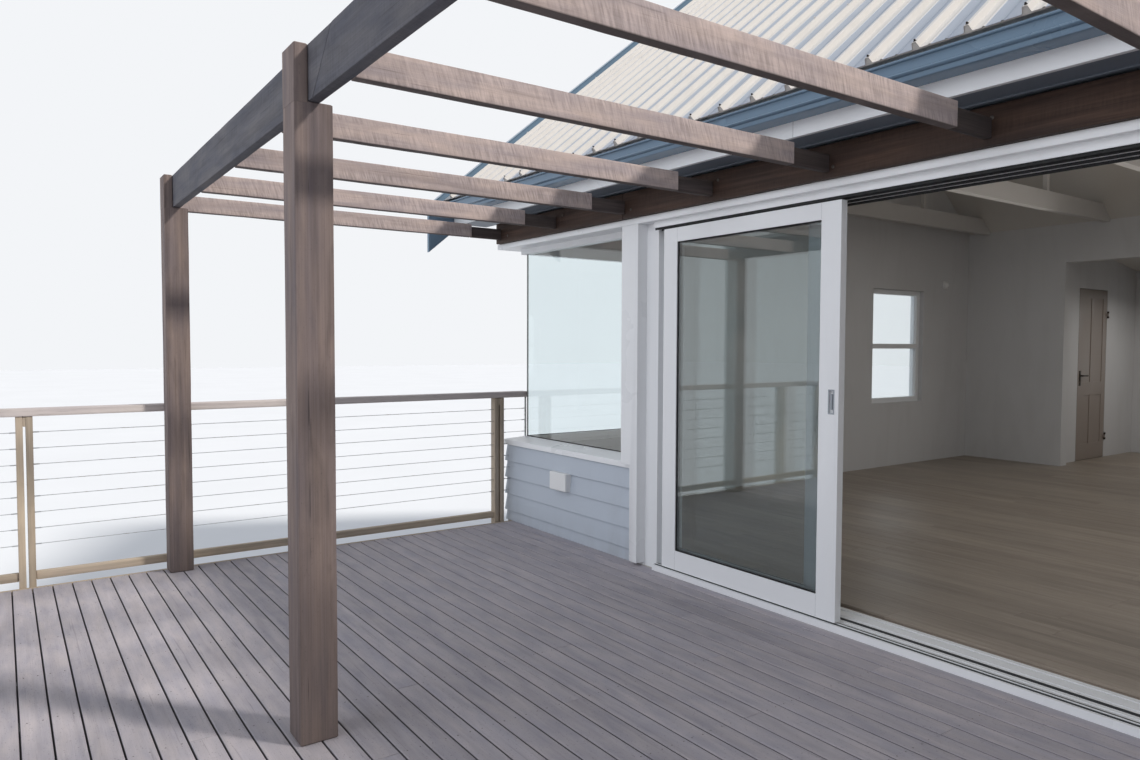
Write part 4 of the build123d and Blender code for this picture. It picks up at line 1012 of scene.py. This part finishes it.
def balustrade_wires(name, run, out, face, places):
    """One side's tight wires from upright to upright, with their ferrules; at the house they reach the wall,
    the sill's edge or, over the sill, a flat bar."""
    wire, ferrule, ferrule_length, bar, bar_face = 0.0019, 0.0036, 0.03, 0.006, 0.064
    lowest, pitch, count = DECK + 0.241, 0.093, 8
    sill_edge, middle = SILL_Z + 0.040, out * (face + UPRIGHT_DEEP / 2)
    levels = lowest + pitch * np.arange(count)
    starts = [(a, z) for a in places[:-1] + PAIR_REACH for z in levels]
    ends = [(b, z) for b in places[1:] - PAIR_REACH for z in levels]
    if run == Y:
        stops = np.where(levels < SILL_Z, FRONT_Y, np.where(levels < sill_edge, FRONT_Y - 0.025, bar_face))
        starts += [(places[-1] + PAIR_REACH, z) for z in levels]
        ends += list(zip(stops, levels))
    first, last = np.zeros((2, len(starts), 3))
    for target, source in ((first, np.array(starts)), (last, np.array(ends))):
        target[:, run], target[:, Y if run == X else X], target[:, Z] = source[:, 0], middle, source[:, 1]
    along = np.eye(3)[run] * ferrule_length
    lines, fittings = Shape(), Shape()
    rods(lines, first, last, wire)
    rods(fittings, first, first + along, ferrule)
    rods(fittings, last - along, last, ferrule)
    if run == Y:
        timbers(lines, Z, (middle - bar, middle + bar, bar_face, bar_face + 2 * bar, sill_edge + 0.009,
                           RAIL_TOP - RAIL_DEEP), 0.001, seed=65)
    steel = bare_steel("Drawn balustrade wire", "#C2C5C7", 0.28)
    piece(f"Wires_{name}", lines, steel, "steel_fittings", replaces=(f"wires_{name}",))
    piece(f"Wire_ferrules_{name}", fittings, steel, "steel_fittings")


def build_balustrade():
    """Rails, pairs of uprights with their spacers, low rails, and wires with their end fittings."""
    side_places, side_face = np.array([-3.91, -3.311, -1.7495, -0.188]), WALL_X - 0.09 + EDGE_BOARD
    front_end, front_pitch, front_face = -4.14, 1.656, 4.001
    front_places = front_end + front_pitch * np.arange(6)
    for side in (("left", Y, -1, side_face, side_places), ("right", Y, 1, side_face, side_places),
                 ("front", X, -1, front_face, front_places)):
        balustrade_timber(*side)
        balustrade_wires(*side)


# Walls

PITCH, LOW_PITCH = math.radians(39.5), math.radians(8)
SLOPE, LOW_SLOPE = math.tan(PITCH), math.tan(LOW_PITCH)
STRETCH, LOW_STRETCH = 1 / math.cos(PITCH), 1 / math.cos(LOW_PITCH)
RIDGE_Y, BREAK_Y = 3.2775, 6.63
SHEET_SEAT = 0.008
FRAME_UNDER = 0.158 * STRETCH
BUTT_ROUND = 0.0015


def roof_top(y):
    """The main roof's flat upper side: the lower of two planes that rise from the eaves to the ridge."""
    return EAVES_Z + SLOPE * np.minimum(y - EAVES_Y, 2 * RIDGE_Y - EAVES_Y - y)


def low_roof_top(y):
    """The rear roof's upper side, which falls at eight degrees from the back wall's line."""
    return roof_top(BREAK_Y) - LOW_SLOPE * (y - BREAK_Y)


def low_sheet(y):
    """The rear sheets' flat upper side."""
    return low_roof_top(y) + SHEET_SEAT * (LOW_STRETCH - STRETCH)


def gable_front(z):
    """The place along Y where the main roof's underside is at height z, over the front."""
    return np.maximum(FRONT_Y, (z + FRAME_UNDER - EAVES_Z) / SLOPE + EAVES_Y)


def gable_back(z):
    """The place where the roof's underside is at height z, over the back."""
    main = 2 * RIDGE_Y - EAVES_Y - (z + FRAME_UNDER - EAVES_Z) / SLOPE
    rear = BREAK_Y + (roof_top(BREAK_Y) - FRAME_UNDER - z) / LOW_SLOPE
    return np.where(z > roof_top(BREAK_Y) - FRAME_UNDER, np.minimum(main, BREAK_Y), np.minimum(BACK_Y, rear))


def lap_rows(top):
    """Rows of boards from the deck up to a height: each row's bottom and top, and the same after the cuts."""
    start, pitch = sizes("walls").board_start, sizes("walls").board_pitch
    bottoms = np.arange(DECK - start, top - 0.01, pitch)
    return [(low, low + pitch, max(low, DECK), min(low + pitch, top)) for low in bottoms]


def lap_boards(shape, run, face, out, boards, seed):
    """Cladding boards on a wall, given as row bottom and top, cut bottom and top, start, end and mitres.

    A board's section is a wedge whose outer face leans back from the butt at the bottom to the thin
    top, with its lower corner rounded. Start and end may be functions of height, and a mitre of -1 or
    1 goes out as far as the section does.
    """
    wall = sizes("walls")
    profiles, starts, ends = [], [], []
    for bottom, row_top, low, high, start, end, mitre in boards:
        heights = np.array([low, low, low + BUTT_ROUND, (low + high) / 2, high, high])
        share = np.clip((heights - bottom) / (row_top - bottom), 0, 1)
        proud = wall.board_butt + (wall.board_top - wall.board_butt) * share
        proud[[0, -1]] = 0.0
        proud[1] -= BUTT_ROUND
        profiles.append(np.stack([face + out * proud, heights], 1))
        for places, place, turn in ((starts, start, mitre[0]), (ends, end, mitre[1])):
            places.append((place(heights) if callable(place) else place) + turn * proud)
    carried(shape, np.array(profiles), np.array(starts), np.array(ends), run, seed=seed)


def around_window(row, start, end, window, mitres):
    """A row's boards beside, under and over a window given as near side, far side, bottom and top."""
    bottom, row_top, low, high = row
    near, far, sill, head = window
    if low >= head or high <= sill:
        return [(*row, start, end, mitres)]
    boards = [(*row, start, near, (mitres[0], 0)), (*row, far, end, (0, mitres[1]))]
    if low < sill:
        boards.append((bottom, row_top, low, sill, near, far, (0, 0)))
    if high > head:
        boards.append((bottom, row_top, head, high, near, far, (0, 0)))
    return boards


def sash_architraves():
    """Boards mitred round each sash window, over a sill that stands out and runs past them."""
    trims, proud, sill_over = Shape(), 0.045, 0.09
    profile = strip(sizes("walls").architrave, 0.022, ease=0.003)
    half, sill = SASH_WIDTH / 2, (SASH_LOW - 0.032, SASH_LOW + 0.002)
    for side in (-1, 1):
        face = side * WALL_X
        near, far = END_SASH_Y - half, END_SASH_Y + half
        border(trims, (near, SASH_LOW), (far, SASH_HIGH), laid_on(profile, face, side), X)
        timbers(trims, Y, (face, face + side * proud, near - sill_over, far + sill_over, *sill), 0.004)
        near, far = side * REAR_SASH_X - half, side * REAR_SASH_X + half
        border(trims, (near, SASH_LOW), (far, SASH_HIGH), laid_on(profile, BACK_Y, 1), Y)
        timbers(trims, X, (near - sill_over, far + sill_over, BACK_Y, BACK_Y + proud, *sill), 0.004)
    piece("Sash_architraves", trims, white_paint(), "white_trim")


def build_cladding():
    """Lap boards on all four sides, mitred round the corners, cut to the windows and to the gables."""
    edge, end_trim, rear_head = sizes("walls").architrave, 1.527, DECK + 2.36
    half, tall = SASH_WIDTH / 2 + edge, (SASH_LOW - edge, SASH_HIGH + edge)
    window = (END_SASH_Y - half, END_SASH_Y + half, *tall)
    shape = Shape()
    for side in (-1, 1):
        face, mitre = side * WALL_X, (-1, 0) if side < 0 else (0, 1)
        span = sorted((side * TRIM_X, face))
        lap_boards(shape, X, FRONT_Y, -1, [(*row, *span, mitre) for row in lap_rows(SILL_Z)], 71 + side)
        under_glass = [(*row, FRONT_Y, CORNER_Y, (-1, 0)) for row in lap_rows(SILL_Z)]
        lap_boards(shape, Y, face, side, under_glass, 73 + side)
        gable = []
        for row in lap_rows(roof_top(RIDGE_Y) - FRAME_UNDER - 0.01):
            start = end_trim if row[3] <= WALL_HEAD else gable_front
            gable += around_window(row, start, gable_back, window, (0, 1 if row[3] < rear_head else 0))
        lap_boards(shape, Y, face, side, gable, 75 + side)
    rear = []
    left, right = ((middle - half, middle + half, *tall) for middle in (-REAR_SASH_X, REAR_SASH_X))
    for row in lap_rows(rear_head):
        rear += around_window(row, -WALL_X, 0.0, left, (-1, 0))
        rear += around_window(row, 0.0, WALL_X, right, (0, 1))
    lap_boards(shape, X, BACK_Y, 1, rear, 79)
    lap_paint = painted_boards("Painted lap boards", colours()["cladding"], dirt=0.12, rough=0.46, soil=DECK)
    piece("Lap_cladding", shape, lap_paint, "light_grey_cladding")
    dress(inner_plaster(), "low_walls", "end_walls", "rear_wall", "upper_walls")
    dress(plaster("Limewashed base render", "#B9B6B0", 2.2), "base_walls")
    sash_architraves()


def build_trim():
    """Head, posts, sills, fascias and the box on the wall, with eased edges, and the seams between them."""
    white = white_paint()
    for name, node, ease in (("Head_trim", "head_trim", 0.003), ("Trim_posts", "trim_posts", 0.003),
                             ("Window_sills", "window_sills", 0.005), ("Fascia_boards", "fascias", 0.002)):
        softened(name, node, ease, white, "white_trim")
    beads, seams = Shape(), Shape()
    bead = (WALL_HEAD + 0.1745, WALL_HEAD + 0.1798)
    timbers(beads, X, (-WALL_X, WALL_X, FRONT_Y - 0.099, FRONT_Y - 0.001, *bead), 0.001, seed=91)
    piece("Eaves_bead", beads, soffit_paint(), "dark_grey_soffit")
    front, rear = float(LOW["fascias"][Y]), float(HIGH["fascias"][Y])
    hair, proud, deep, low, round_off = 0.0009, 0.0003, 0.002, DECK + 2.3705, 0.0002
    for x in (-1.2, 2.4):
        line = (x - hair, x + hair)
        timbers(seams, Z, (*line, front - proud, front + deep, low, low + 0.1), round_off)
        timbers(seams, Z, (*line, rear - deep, rear + proud, low, low + 0.06), round_off)
    piece("Fascia_seams", seams, dark_rubber("Grey seam sealant", "#6E7274"), "white_trim")
    softened("Outlet_box", "outlet_box", 0.006, white_plastic(), "white_plastic")


# Doors and windows

def glazed(pane, gasket, spacer, low, high, front, back):
    """Two panes, a spacer between them and gaskets on both faces, in a hole in the XZ plane."""
    thin, rebate, lip, bar = 0.005, 0.004, 0.006, 0.009
    span = (low[0] - rebate, high[0] + rebate)
    rise = (low[1] - rebate, high[1] + rebate)
    timbers(pane, X, [(*span, front, front + thin, *rise), (*span, back - thin, back, *rise)], 0.0006, arc=1)
    inner, outer = front + thin, back - thin
    border(spacer, low, high, [(-bar, inner), (0.0, inner), (0.0, outer), (-bar, outer)], Y)
    seal = np.array([(-lip, 0.0), (0.001, 0.0), (0.001, 0.004), (-0.003, 0.004), (-lip, 0.0015)])
    border(gasket, low, high, laid_on(seal, front, -1), Y)
    border(gasket, low, high, laid_on(seal, back, 1), Y)


def sliding_leaf(name, sign):
    """One sliding leaf with its double pane, gaskets, spacer, the seams at its corners and its sunk pull."""
    body, node = f"sliding_leaf_{name}", f"sliding_glass_{name}"
    low, high, leaf_low, leaf_high = LOW[node], HIGH[node], LOW[body], HIGH[body]
    softened(f"Sliding_leaf_{name}", body, 0.003, white_metal(), "white_aluminium", body=body)
    panes, gaskets, spacers, joints, pull = (Shape() for _ in range(5))
    glazed(panes, gaskets, spacers, (low[X], low[Z]), (high[X], high[Z]), low[Y], high[Y])
    piece(f"Leaf_panes_{name}", panes, clear_glass(), "clear_glass", body=body, replaces=(node,))
    piece(f"Leaf_gaskets_{name}", gaskets, dark_rubber("Black glazing gasket"), "white_aluminium", body=body)
    piece(f"Leaf_spacers_{name}", spacers, coated_metal("Aluminium glazing spacer", "#B4B9BC", 0.4),
          "white_aluminium", body=body)
    hair, proud, clear = 0.0005, 0.0002, 0.006
    corners = [(x - hair, x + hair, y - proud, y + proud, *ends)
               for x in (low[X], high[X]) for y in (leaf_low[Y], leaf_high[Y])
               for ends in ((leaf_low[Z] + clear, low[Z] - clear), (high[Z] + clear, leaf_high[Z] - clear))]
    timbers(joints, Z, corners, 0.0001, arc=1)
    pale = dark_rubber("Pale corner joint", "#A9AEB2")
    piece(f"Leaf_joints_{name}", joints, pale, "white_aluminium", body=body)
    x, face, half_pull, half_slot, slot_end = sign * 1.175, float(leaf_low[Y]), 0.016, 0.0045, 0.02
    pull_low, pull_high = DECK + 1.07, DECK + 1.187
    rim = laid_on(strip(0.006, 0.0022, -0.004, 0.0008), face, -1)
    border(pull, (x - half_pull, pull_low), (x + half_pull, pull_high), rim, Y)
    slot = (pull_low + slot_end, pull_high - slot_end)
    timbers(pull, Z, (x - half_slot, x + half_slot, face, face + 0.01, *slot), 0.002)
    satin = coated_metal("Satin grey pull", "#9FA6AD", 0.35)
    piece(f"Leaf_pull_{name}", pull, satin, "steel_fittings", body=body)


def build_doors():
    """Sliding and fixed leaves in their frame, dark strips under the head and on the sill that paint the
    shade in their tracks, and the wide meeting stiles behind the sliding leaves."""
    metal = white_metal()
    softened("Door_frame", "door_frame", 0.002, metal, "white_aluminium")
    softened("Fixed_leaves", "fixed_leaves", 0.003, metal, "white_aluminium")
    for name, sign in (("left", -1), ("right", 1)):
        sliding_leaf(name, sign)
    seals, sill_shade, stiles = Shape(), Shape(), Shape()
    # Dark strips under the head: painted shade in its track channels.
    span, low, high, half = DOOR_X - 0.114, DECK + 2.110, DECK + 2.1235, 0.0015
    tracks = (-0.0955, -0.0435, 0.0385, 0.1215)
    timbers(seals, X, [*((-span, span, y - half, y + half, low, high) for y in tracks),
                       (-span, span, -0.093, -0.046, high - 0.002, high)], 0.0005)
    piece("Head_track_seals", seals, dark_rubber("Black glazing gasket"), "white_aluminium")
    # Dark strips on the sill, pile being their height: painted shade in its two grooves and along its inner
    # edge.
    sill_top, pile = DECK + 0.035, 0.0012
    for y0, y1, reach in ((-0.0905, -0.0745, 2.484), (-0.0645, -0.0505, 2.484), (0.001, 0.027, 1.194)):
        timbers(sill_shade, X, (-reach, reach, y0, y1, sill_top - 0.001, sill_top + pile), 0.0006, arc=1)
    piece("Track_brushes", sill_shade, dark_rubber("Dark track brush", "#2E3236"), "white_aluminium")
    near, far, behind = 1.3115, 1.389, (-0.0098, 0.0348, DECK + 0.152, DECK + 2.038)
    for sign in (-1, 1):
        timbers(stiles, Z, (sign * near, sign * far, *behind), 0.003)
    piece("Meeting_stiles", stiles, metal, "white_aluminium")


def build_windows():
    """Sash frames and frameless corner panes with eased edges, and the panes' seals."""
    softened("Sash_frames", "sash_frames", 0.002, white_metal(), "white_aluminium")
    softened("Fixed_panes", "fixed_glass", 0.0012, clear_glass(), "clear_glass")
    seals, sill_top = Shape(), float(HIGH["window_sills"][Z])
    near, far, corner, side, corner_side = 0.031, 0.049, 4.168, (4.165, 4.183), (4.1678, 4.1802)
    bead, rise = (sill_top - 0.0005, sill_top + 0.005), (sill_top + 0.001, DECK + 2.119)
    for sign in (-1, 1):
        timbers(seals, Z, (sign * GLASS_X, sign * (GLASS_X + 0.004), near, far, *rise), 0.001)
        timbers(seals, X, (sign * (GLASS_X + 0.002), sign * corner, near, far, *bead), 0.001)
        timbers(seals, Y, (sign * side[0], sign * side[1], far, CORNER_Y - 0.001, *bead), 0.001)
        timbers(seals, Z, (sign * corner_side[0], sign * corner_side[1], 0.0458, 0.0482, *rise), 0.0003)
    piece("Corner_pane_seals", seals, dark_rubber("Black glazing gasket"), "white_aluminium")


# Roof

def sheet_section(edge):
    """The upper line across the ribbed sheets, which of its points get the painted rib shadow, and the ribs'
    places.

    Each rib is a narrow trapezium with bent shoulders, and two small stiffening ribs stand in each pan.
    """
    pitch, height = sizes("roof").rib_pitch, sizes("roof").rib_height
    count = int(2 * edge // pitch)
    ribs = (np.arange(count) - (count - 1) / 2) * pitch
    bend, swage = 0.0015, 0.0035
    one = np.array([(-0.019, 0.0), (-0.016, 0.002), (-0.0095, height - bend), (-0.0075, height),
                    (0.0075, height), (0.0095, height - bend), (0.016, 0.002), (0.019, 0.0), (0.050, 0.0),
                    (0.054, swage), (0.060, swage), (0.064, 0.0), (0.118, 0.0), (0.122, swage),
                    (0.128, swage), (0.132, 0.0)])
    x, h = (ribs[:, None] + one[:, 0]).ravel(), np.tile(one[:, 1], count)
    # Ones mark the strip of each pan beside the next rib, where that rib's shadow is painted on.
    rib_shade = np.tile(np.concatenate([[1], np.zeros(10), np.ones(5)]), count)
    keep = x < edge - 0.003
    line = np.stack([np.concatenate([[-edge], x[keep], [edge]]), np.concatenate([[0], h[keep], [0]])], 1)
    return line, np.concatenate([[0], rib_shade[keep], [0]]), ribs


def sloped(section, low, high):
    """A section of (x, height over the slope) points, carried from a roof side's low place to its high."""
    along = (high - low) / np.linalg.norm(high - low)
    up = np.array([-along[1], along[0]]) * np.sign(along[0])
    points = np.zeros((1, 2, len(section), 3))
    points[0, :, :, X] = section[:, 0]
    points[0, :, :, 1:] = np.stack([low, high])[:, None] + section[None, :, 1, None] * up
    return points, along, up


def roof_sheets():
    """Ribbed sheets on the three roof sides, closers under their ribs at the eaves, and hexagonal screws."""
    roof, paint = sizes("roof"), colours()["sheet"]
    line, rib_shade, ribs = sheet_section(ROOF_X)
    under = line - (0, roof.sheet)
    # The tone of each section point carries the painted rib shadow.
    section, tone = np.concatenate([line, under[::-1]]), np.concatenate([rib_shade, rib_shade[::-1]])
    closer = np.concatenate([under, [(ROOF_X, 0.0005 - SHEET_SEAT), (-ROOF_X, 0.0005 - SHEET_SEAT)]])
    ridge_gap, lap, first_row, last_row, washer = 0.012, 0.025, 0.012, 0.22, 0.002
    sides = (((EAVES_Y, roof_top(EAVES_Y)), (RIDGE_Y - ridge_gap, roof_top(RIDGE_Y - ridge_gap))),
             ((BREAK_Y - lap, roof_top(BREAK_Y - lap)), (RIDGE_Y + ridge_gap, roof_top(RIDGE_Y + ridge_gap))),
             ((REAR_EAVES_Y, low_sheet(REAR_EAVES_Y)), (BREAK_Y + lap, low_sheet(BREAK_Y + lap))))
    sheets, screws, eaves, closers = (Shape() for _ in range(4))
    for low, high in np.array(sides):
        points, along, up = sloped(section, low, high)
        sheets.loft(points, tone=tone[None, None])
        start = low + 0.004 * along
        closers.loft(sloped(closer, start, start + 0.006 * along)[0])
        reach, normal = np.linalg.norm(high - low), np.array((0, *up))
        rows = np.linspace(first_row, reach - last_row, max(2, int(reach / roof.screw_pitch) + 1))
        spots = np.zeros((len(rows), len(ribs), 3))
        spots[..., X] = ribs
        spots[..., 1:] = (low + rows[:, None] * along + (roof.rib_height - 0.0002) * up)[:, None]
        for heads, at in ((eaves, spots[0]), (screws, spots[1:].reshape(-1, 3))):
            buttons(heads, at, normal, 0.0065, washer, shoulder=0.9)
            buttons(heads, at + normal * washer, normal, 0.0042, 0.006, sides=6, shoulder=0.8)
    # The marked strips are painted blue-grey: a painted shadow of the ribs.
    steel = coated_metal("Off-white coated roof steel", paint, 0.42, 0.14, peel=0.05, rib_shade_tint="#A8B0BC")
    piece("Roof_sheets", sheets, steel, "off_white_roof_sheet", replaces=("roof_sheets",))
    piece("Roof_screws", screws, coated_metal("Coated screw head", paint, 0.45), "off_white_roof_sheet")
    # The row of screws next to the eaves is dark.
    piece("Eaves_screws", eaves, bare_steel("Rusted eaves screw", "#3E3A38", 0.6), "steel_fittings")
    piece("Rib_closers", closers, coated_metal("Coated rib closer", shade(paint, 0.9), 0.45),
          "off_white_roof_sheet")


def roof_gutters(metal):
    """Gutters with a bead and a rolled lip, a stop at each end, two sleeve joints and flat straps."""
    gutters, thin, end_stop, sleeve_place, sleeve_half = Shape(), 0.002, 0.003, 1.55, 0.02
    strap_half, end_strap = 0.009, 4.2
    outer = np.array([(0.0, 0.09), (0.0, 0.0), (0.088, 0.0), (0.096, 0.003), (0.099, 0.010), (0.099, 0.022),
                      (0.106, 0.023), (0.113, 0.027), (0.115, 0.031), (0.112, 0.037), (0.103, 0.041),
                      (0.103, 0.074), (0.105, 0.077), (0.115, 0.079), (0.117, 0.083), (0.116, 0.088),
                      (0.112, 0.090), (0.108, 0.088)])
    inner = outer.copy()
    inner[:, 0] = np.clip(inner[:, 0], thin, None) - np.where(inner[:, 0] > 0.05, thin, 0)
    inner[:, 1] = np.clip(inner[:, 1], thin, None)
    profile = np.concatenate([outer, inner[:-5][::-1]])
    sleeve = np.concatenate([outer[1:-6] + (0.0006, -0.0006), outer[1:-6][::-1] - (0.0009, 0)])
    parts = ((profile, -ROOF_X, ROOF_X), (outer, (-ROOF_X, ROOF_X - end_stop), (end_stop - ROOF_X, ROOF_X)),
             (sleeve, (-sleeve_place - sleeve_half, sleeve_place - sleeve_half),
              (sleeve_half - sleeve_place, sleeve_place + sleeve_half)))
    for wall, out, base in ((float(LOW["fascias"][Y]), -1, DECK + 2.443),
                            (float(HIGH["fascias"][Y]), 1, DECK + 2.408)):
        for part, starts, ends in parts:
            carried(gutters, np.stack([wall + out * part[:, 0], base + part[:, 1]], 1), starts, ends, X)
        strap = (wall, wall + out * 0.106, base + 0.0845, base + 0.0875)
        timbers(gutters, Y, [(x - strap_half, x + strap_half, *strap)
                             for x in np.linspace(-end_strap, end_strap, 8)], 0.0007)
    piece("Gutters", gutters, metal, "blue_grey_metal", replaces=("gutters",))


def build_roof():
    """Ribbed sheets with closers and screws, eased flashings and barge boards, and beaded gutters."""
    flashing = colours()["flashing"]
    roof_sheets()
    barge = painted_boards("Blue-grey painted barge", flashing, run=Y)
    blue = coated_metal("Blue-grey coated metal", flashing, 0.2, 0.08, peel=0.04)
    softened("Barge_boards", "barge_boards", 0.002, barge, "blue_grey_metal")
    softened("Roof_flashings", "roof_flashings", 0.0015, blue, "blue_grey_metal")
    roof_gutters(blue)
    softened("Soffit", "soffit", 0.001, soffit_paint(), "dark_grey_soffit")
    dress(painted_boards("Roof board paint", "#CFCBC2"), "roof_frame")


# Rooms

def dome(shape, centre, normal, radius, height):
    """Half an egg on a wall: rings shrink as a cosine while they stand out as a sine."""
    normal = np.asarray(normal, float)
    circle = radius * circles(normal[None], 20)
    rise = np.linspace(0, np.radians(84), 7)[:, None, None]
    shape.loft((np.asarray(centre) + np.cos(rise) * circle + height * np.sin(rise) * normal)[None])


def floor_planks():
    """Oak planks of random lengths, cut to the doors' sill, on a slab that carries them."""
    floor, sill, width, joint, plank, shortest, longest = Shape(), 0.17, 0.137, 0.0003, 0.014, 1.4, 2.6
    low, high, top = LOW["floor"], HIGH["floor"], float(HIGH["floor"][Z])
    edges = np.linspace(low[Y], high[Y], int(round((high[Y] - low[Y]) / width)) + 1)
    random, table = np.random.default_rng(131), []
    for near, far in zip(edges, edges[1:]):
        ends = [low[X]]
        while ends[-1] < high[X] - longest:
            ends.append(ends[-1] + random.uniform(shortest, longest))
        ends.append(high[X])
        for start, end in zip(ends, ends[1:]):
            beside_sill = ((start, min(end, -DOOR_X)), (max(start, DOOR_X), end))
            table += [(a + joint, b - joint, near + joint, far - joint, top - plank, top)
                      for a, b in (beside_sill if near < sill else ((start, end),)) if b - a > 0.02]
    timbers(floor, X, table, 0.0009, arc=1, seed=132)
    slab = (float(low[Z]), top - plank - 0.0002)
    timbers(floor, X, [(low[X], high[X], sill, high[Y], *slab), (low[X], -DOOR_X, low[Y], sill, *slab),
                       (DOOR_X, high[X], low[Y], sill, *slab),
                       (-DOOR_X, DOOR_X, low[Y], sill, slab[0], DECK)], 0.0005, arc=1, seed=133)
    oak = oiled_floor("Oiled oak floor", colours()["floor"])
    piece("Floor_planks", floor, oak, "floor_boards", replaces=("floor",))


def wall_sensor():
    """A small box with a domed face, high on the end wall."""
    sensor, face, y, z, thick = Shape(), float(LOW["floor"][X]), 5.955, DECK + 2.145, 0.012
    timbers(sensor, X, (face, face + thick, y - 0.05, y + 0.05, z - 0.045, z + 0.045), 0.004)
    dome(sensor, (face + thick, y, z), (1, 0, 0), 0.038, 0.034)
    piece("Wall_sensor", sensor, white_plastic(), "white_plastic")


def hall_door():
    """The panelled door with its hinges, and on both faces a lever on a plate."""
    door_paint = painted_boards("Warm grey door paint", "#958A82", run=Z, rough=0.4)
    softened("Hall_door", "hall_door", 0.002, door_paint, "grey_painted_door", body="hall_door")
    dark = bare_steel("Dark bronzed steel", "#4A423C", 0.42)
    softened("Hall_door_hinges", "hall_door_hinges", 0.0008, dark, "steel_fittings")
    levers, height, wall_face, thick = Shape(), DECK + 1.03, float(HIGH["hall_wall_sides"][X]), 0.038
    near, neck = float(LOW["hall_door"][Y]) + 0.055, height + 0.03
    plate = (near - 0.022, near + 0.022, height - 0.09, height + 0.09)
    for face, out in ((wall_face - thick, -1), (wall_face, 1)):
        timbers(levers, Z, (face, face + out * 0.006, *plate), 0.002)
        rods(levers, (face, near, neck), (face + out * 0.045, near, neck), 0.009, 12)
        timbers(levers, Y, (face + out * 0.036, face + out * 0.05, near - 0.01, near + 0.115, neck - 0.009,
                            neck + 0.009), 0.005)
    piece("Hall_door_levers", levers, dark, "steel_fittings", body="hall_door")


def build_rooms():
    """Floor planks, plastered walls, lined ceilings, ties, and the hall door with its levers."""
    floor_planks()
    dress(inner_plaster(), "inner_wall", "hall_wall_sides", "hall_wall_head")
    dress(painted_boards("Pale ceiling paint", "#D2CFCA", dirt=0.03, rough=0.6), "ceilings")
    joinery = painted_boards("Painted tie timber", "#CFCDCB", run=Y, dirt=0.04, rough=0.5)
    softened("Tie_beams", "tie_beams", 0.003, joinery, "pale_ceiling")
    softened("Tie_struts", "tie_struts", 0.002, joinery, "pale_ceiling")
    wall_sensor()
    hall_door()


# Blender's side: operators, panel and the run

class HOUSE_OT_stage(bpy.types.Operator):
    """Build the pale studio floor, the soft lights and the camera"""
    bl_idname = "house.stage"
    bl_label = "Stage"

    def execute(self, context):
        build_stage()
        return {"FINISHED"}


class HOUSE_OT_deck(bpy.types.Operator):
    """Build the deck's planks, screws and edge boards"""
    bl_idname = "house.deck"
    bl_label = "Deck"

    def execute(self, context):
        build_deck()
        return {"FINISHED"}


class HOUSE_OT_pergola(bpy.types.Operator):
    """Build the pergola's posts, beam, rafters and ledger"""
    bl_idname = "house.pergola"
    bl_label = "Pergola"

    def execute(self, context):
        build_pergola()
        return {"FINISHED"}


class HOUSE_OT_balustrade(bpy.types.Operator):
    """Build the balustrades and their wires"""
    bl_idname = "house.balustrade"
    bl_label = "Balustrade"

    def execute(self, context):
        build_balustrade()
        return {"FINISHED"}


class HOUSE_OT_cladding(bpy.types.Operator):
    """Build the lap boards and the architraves"""
    bl_idname = "house.cladding"
    bl_label = "Cladding"

    def execute(self, context):
        build_cladding()
        return {"FINISHED"}


class HOUSE_OT_trim(bpy.types.Operator):
    """Build the white trim, sills and fascias"""
    bl_idname = "house.trim"
    bl_label = "Trim"

    def execute(self, context):
        build_trim()
        return {"FINISHED"}


class HOUSE_OT_doors(bpy.types.Operator):
    """Build the sliding doors"""
    bl_idname = "house.doors"
    bl_label = "Doors"

    def execute(self, context):
        build_doors()
        return {"FINISHED"}


class HOUSE_OT_windows(bpy.types.Operator):
    """Build the sash windows and the corner panes"""
    bl_idname = "house.windows"
    bl_label = "Windows"

    def execute(self, context):
        build_windows()
        return {"FINISHED"}


class HOUSE_OT_roof(bpy.types.Operator):
    """Build the roof sheets, gutters, flashings and barge boards"""
    bl_idname = "house.roof"
    bl_label = "Roof"

    def execute(self, context):
        build_roof()
        return {"FINISHED"}


class HOUSE_OT_rooms(bpy.types.Operator):
    """Build the floor, inner walls, ceilings, ties and hall door"""
    bl_idname = "house.rooms"
    bl_label = "Rooms"

    def execute(self, context):
        build_rooms()
        return {"FINISHED"}


OPERATORS = (HOUSE_OT_stage, HOUSE_OT_deck, HOUSE_OT_pergola, HOUSE_OT_balustrade, HOUSE_OT_cladding,
             HOUSE_OT_trim, HOUSE_OT_doors, HOUSE_OT_windows, HOUSE_OT_roof, HOUSE_OT_rooms)


class HOUSE_PT_pieces(bpy.types.Panel):
    """The house's pieces, one button each."""
    bl_label = "Beach House"
    bl_space_type = "VIEW_3D"
    bl_region_type = "UI"
    bl_category = "House"

    def draw(self, context):
        for operator in OPERATORS:
            self.layout.operator(operator.bl_idname)


GROUPS = (("timber", TimberSizes), ("walls", WallSizes), ("roof", RoofSizes), ("colours", HouseColours))


def register():
    """Registers the groups of sizes, the operators and the panel."""
    for name, group in GROUPS:
        bpy.utils.register_class(group)
        setattr(bpy.types.Scene, "house_" + name, bpy.props.PointerProperty(type=group))
    for kind in (*OPERATORS, HOUSE_PT_pieces):
        bpy.utils.register_class(kind)


def unregister():
    """Takes them away again, in the opposite order."""
    for kind in (HOUSE_PT_pieces, *reversed(OPERATORS)):
        bpy.utils.unregister_class(kind)
    for name, group in reversed(GROUPS):
        delattr(bpy.types.Scene, "house_" + name)
        bpy.utils.unregister_class(group)


def main():
    """Builds every piece in turn."""
    register()
    for operator in OPERATORS:
        getattr(bpy.ops.house, operator.bl_idname.split(".")[1])()
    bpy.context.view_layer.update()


if __name__ == "__main__":
    main()
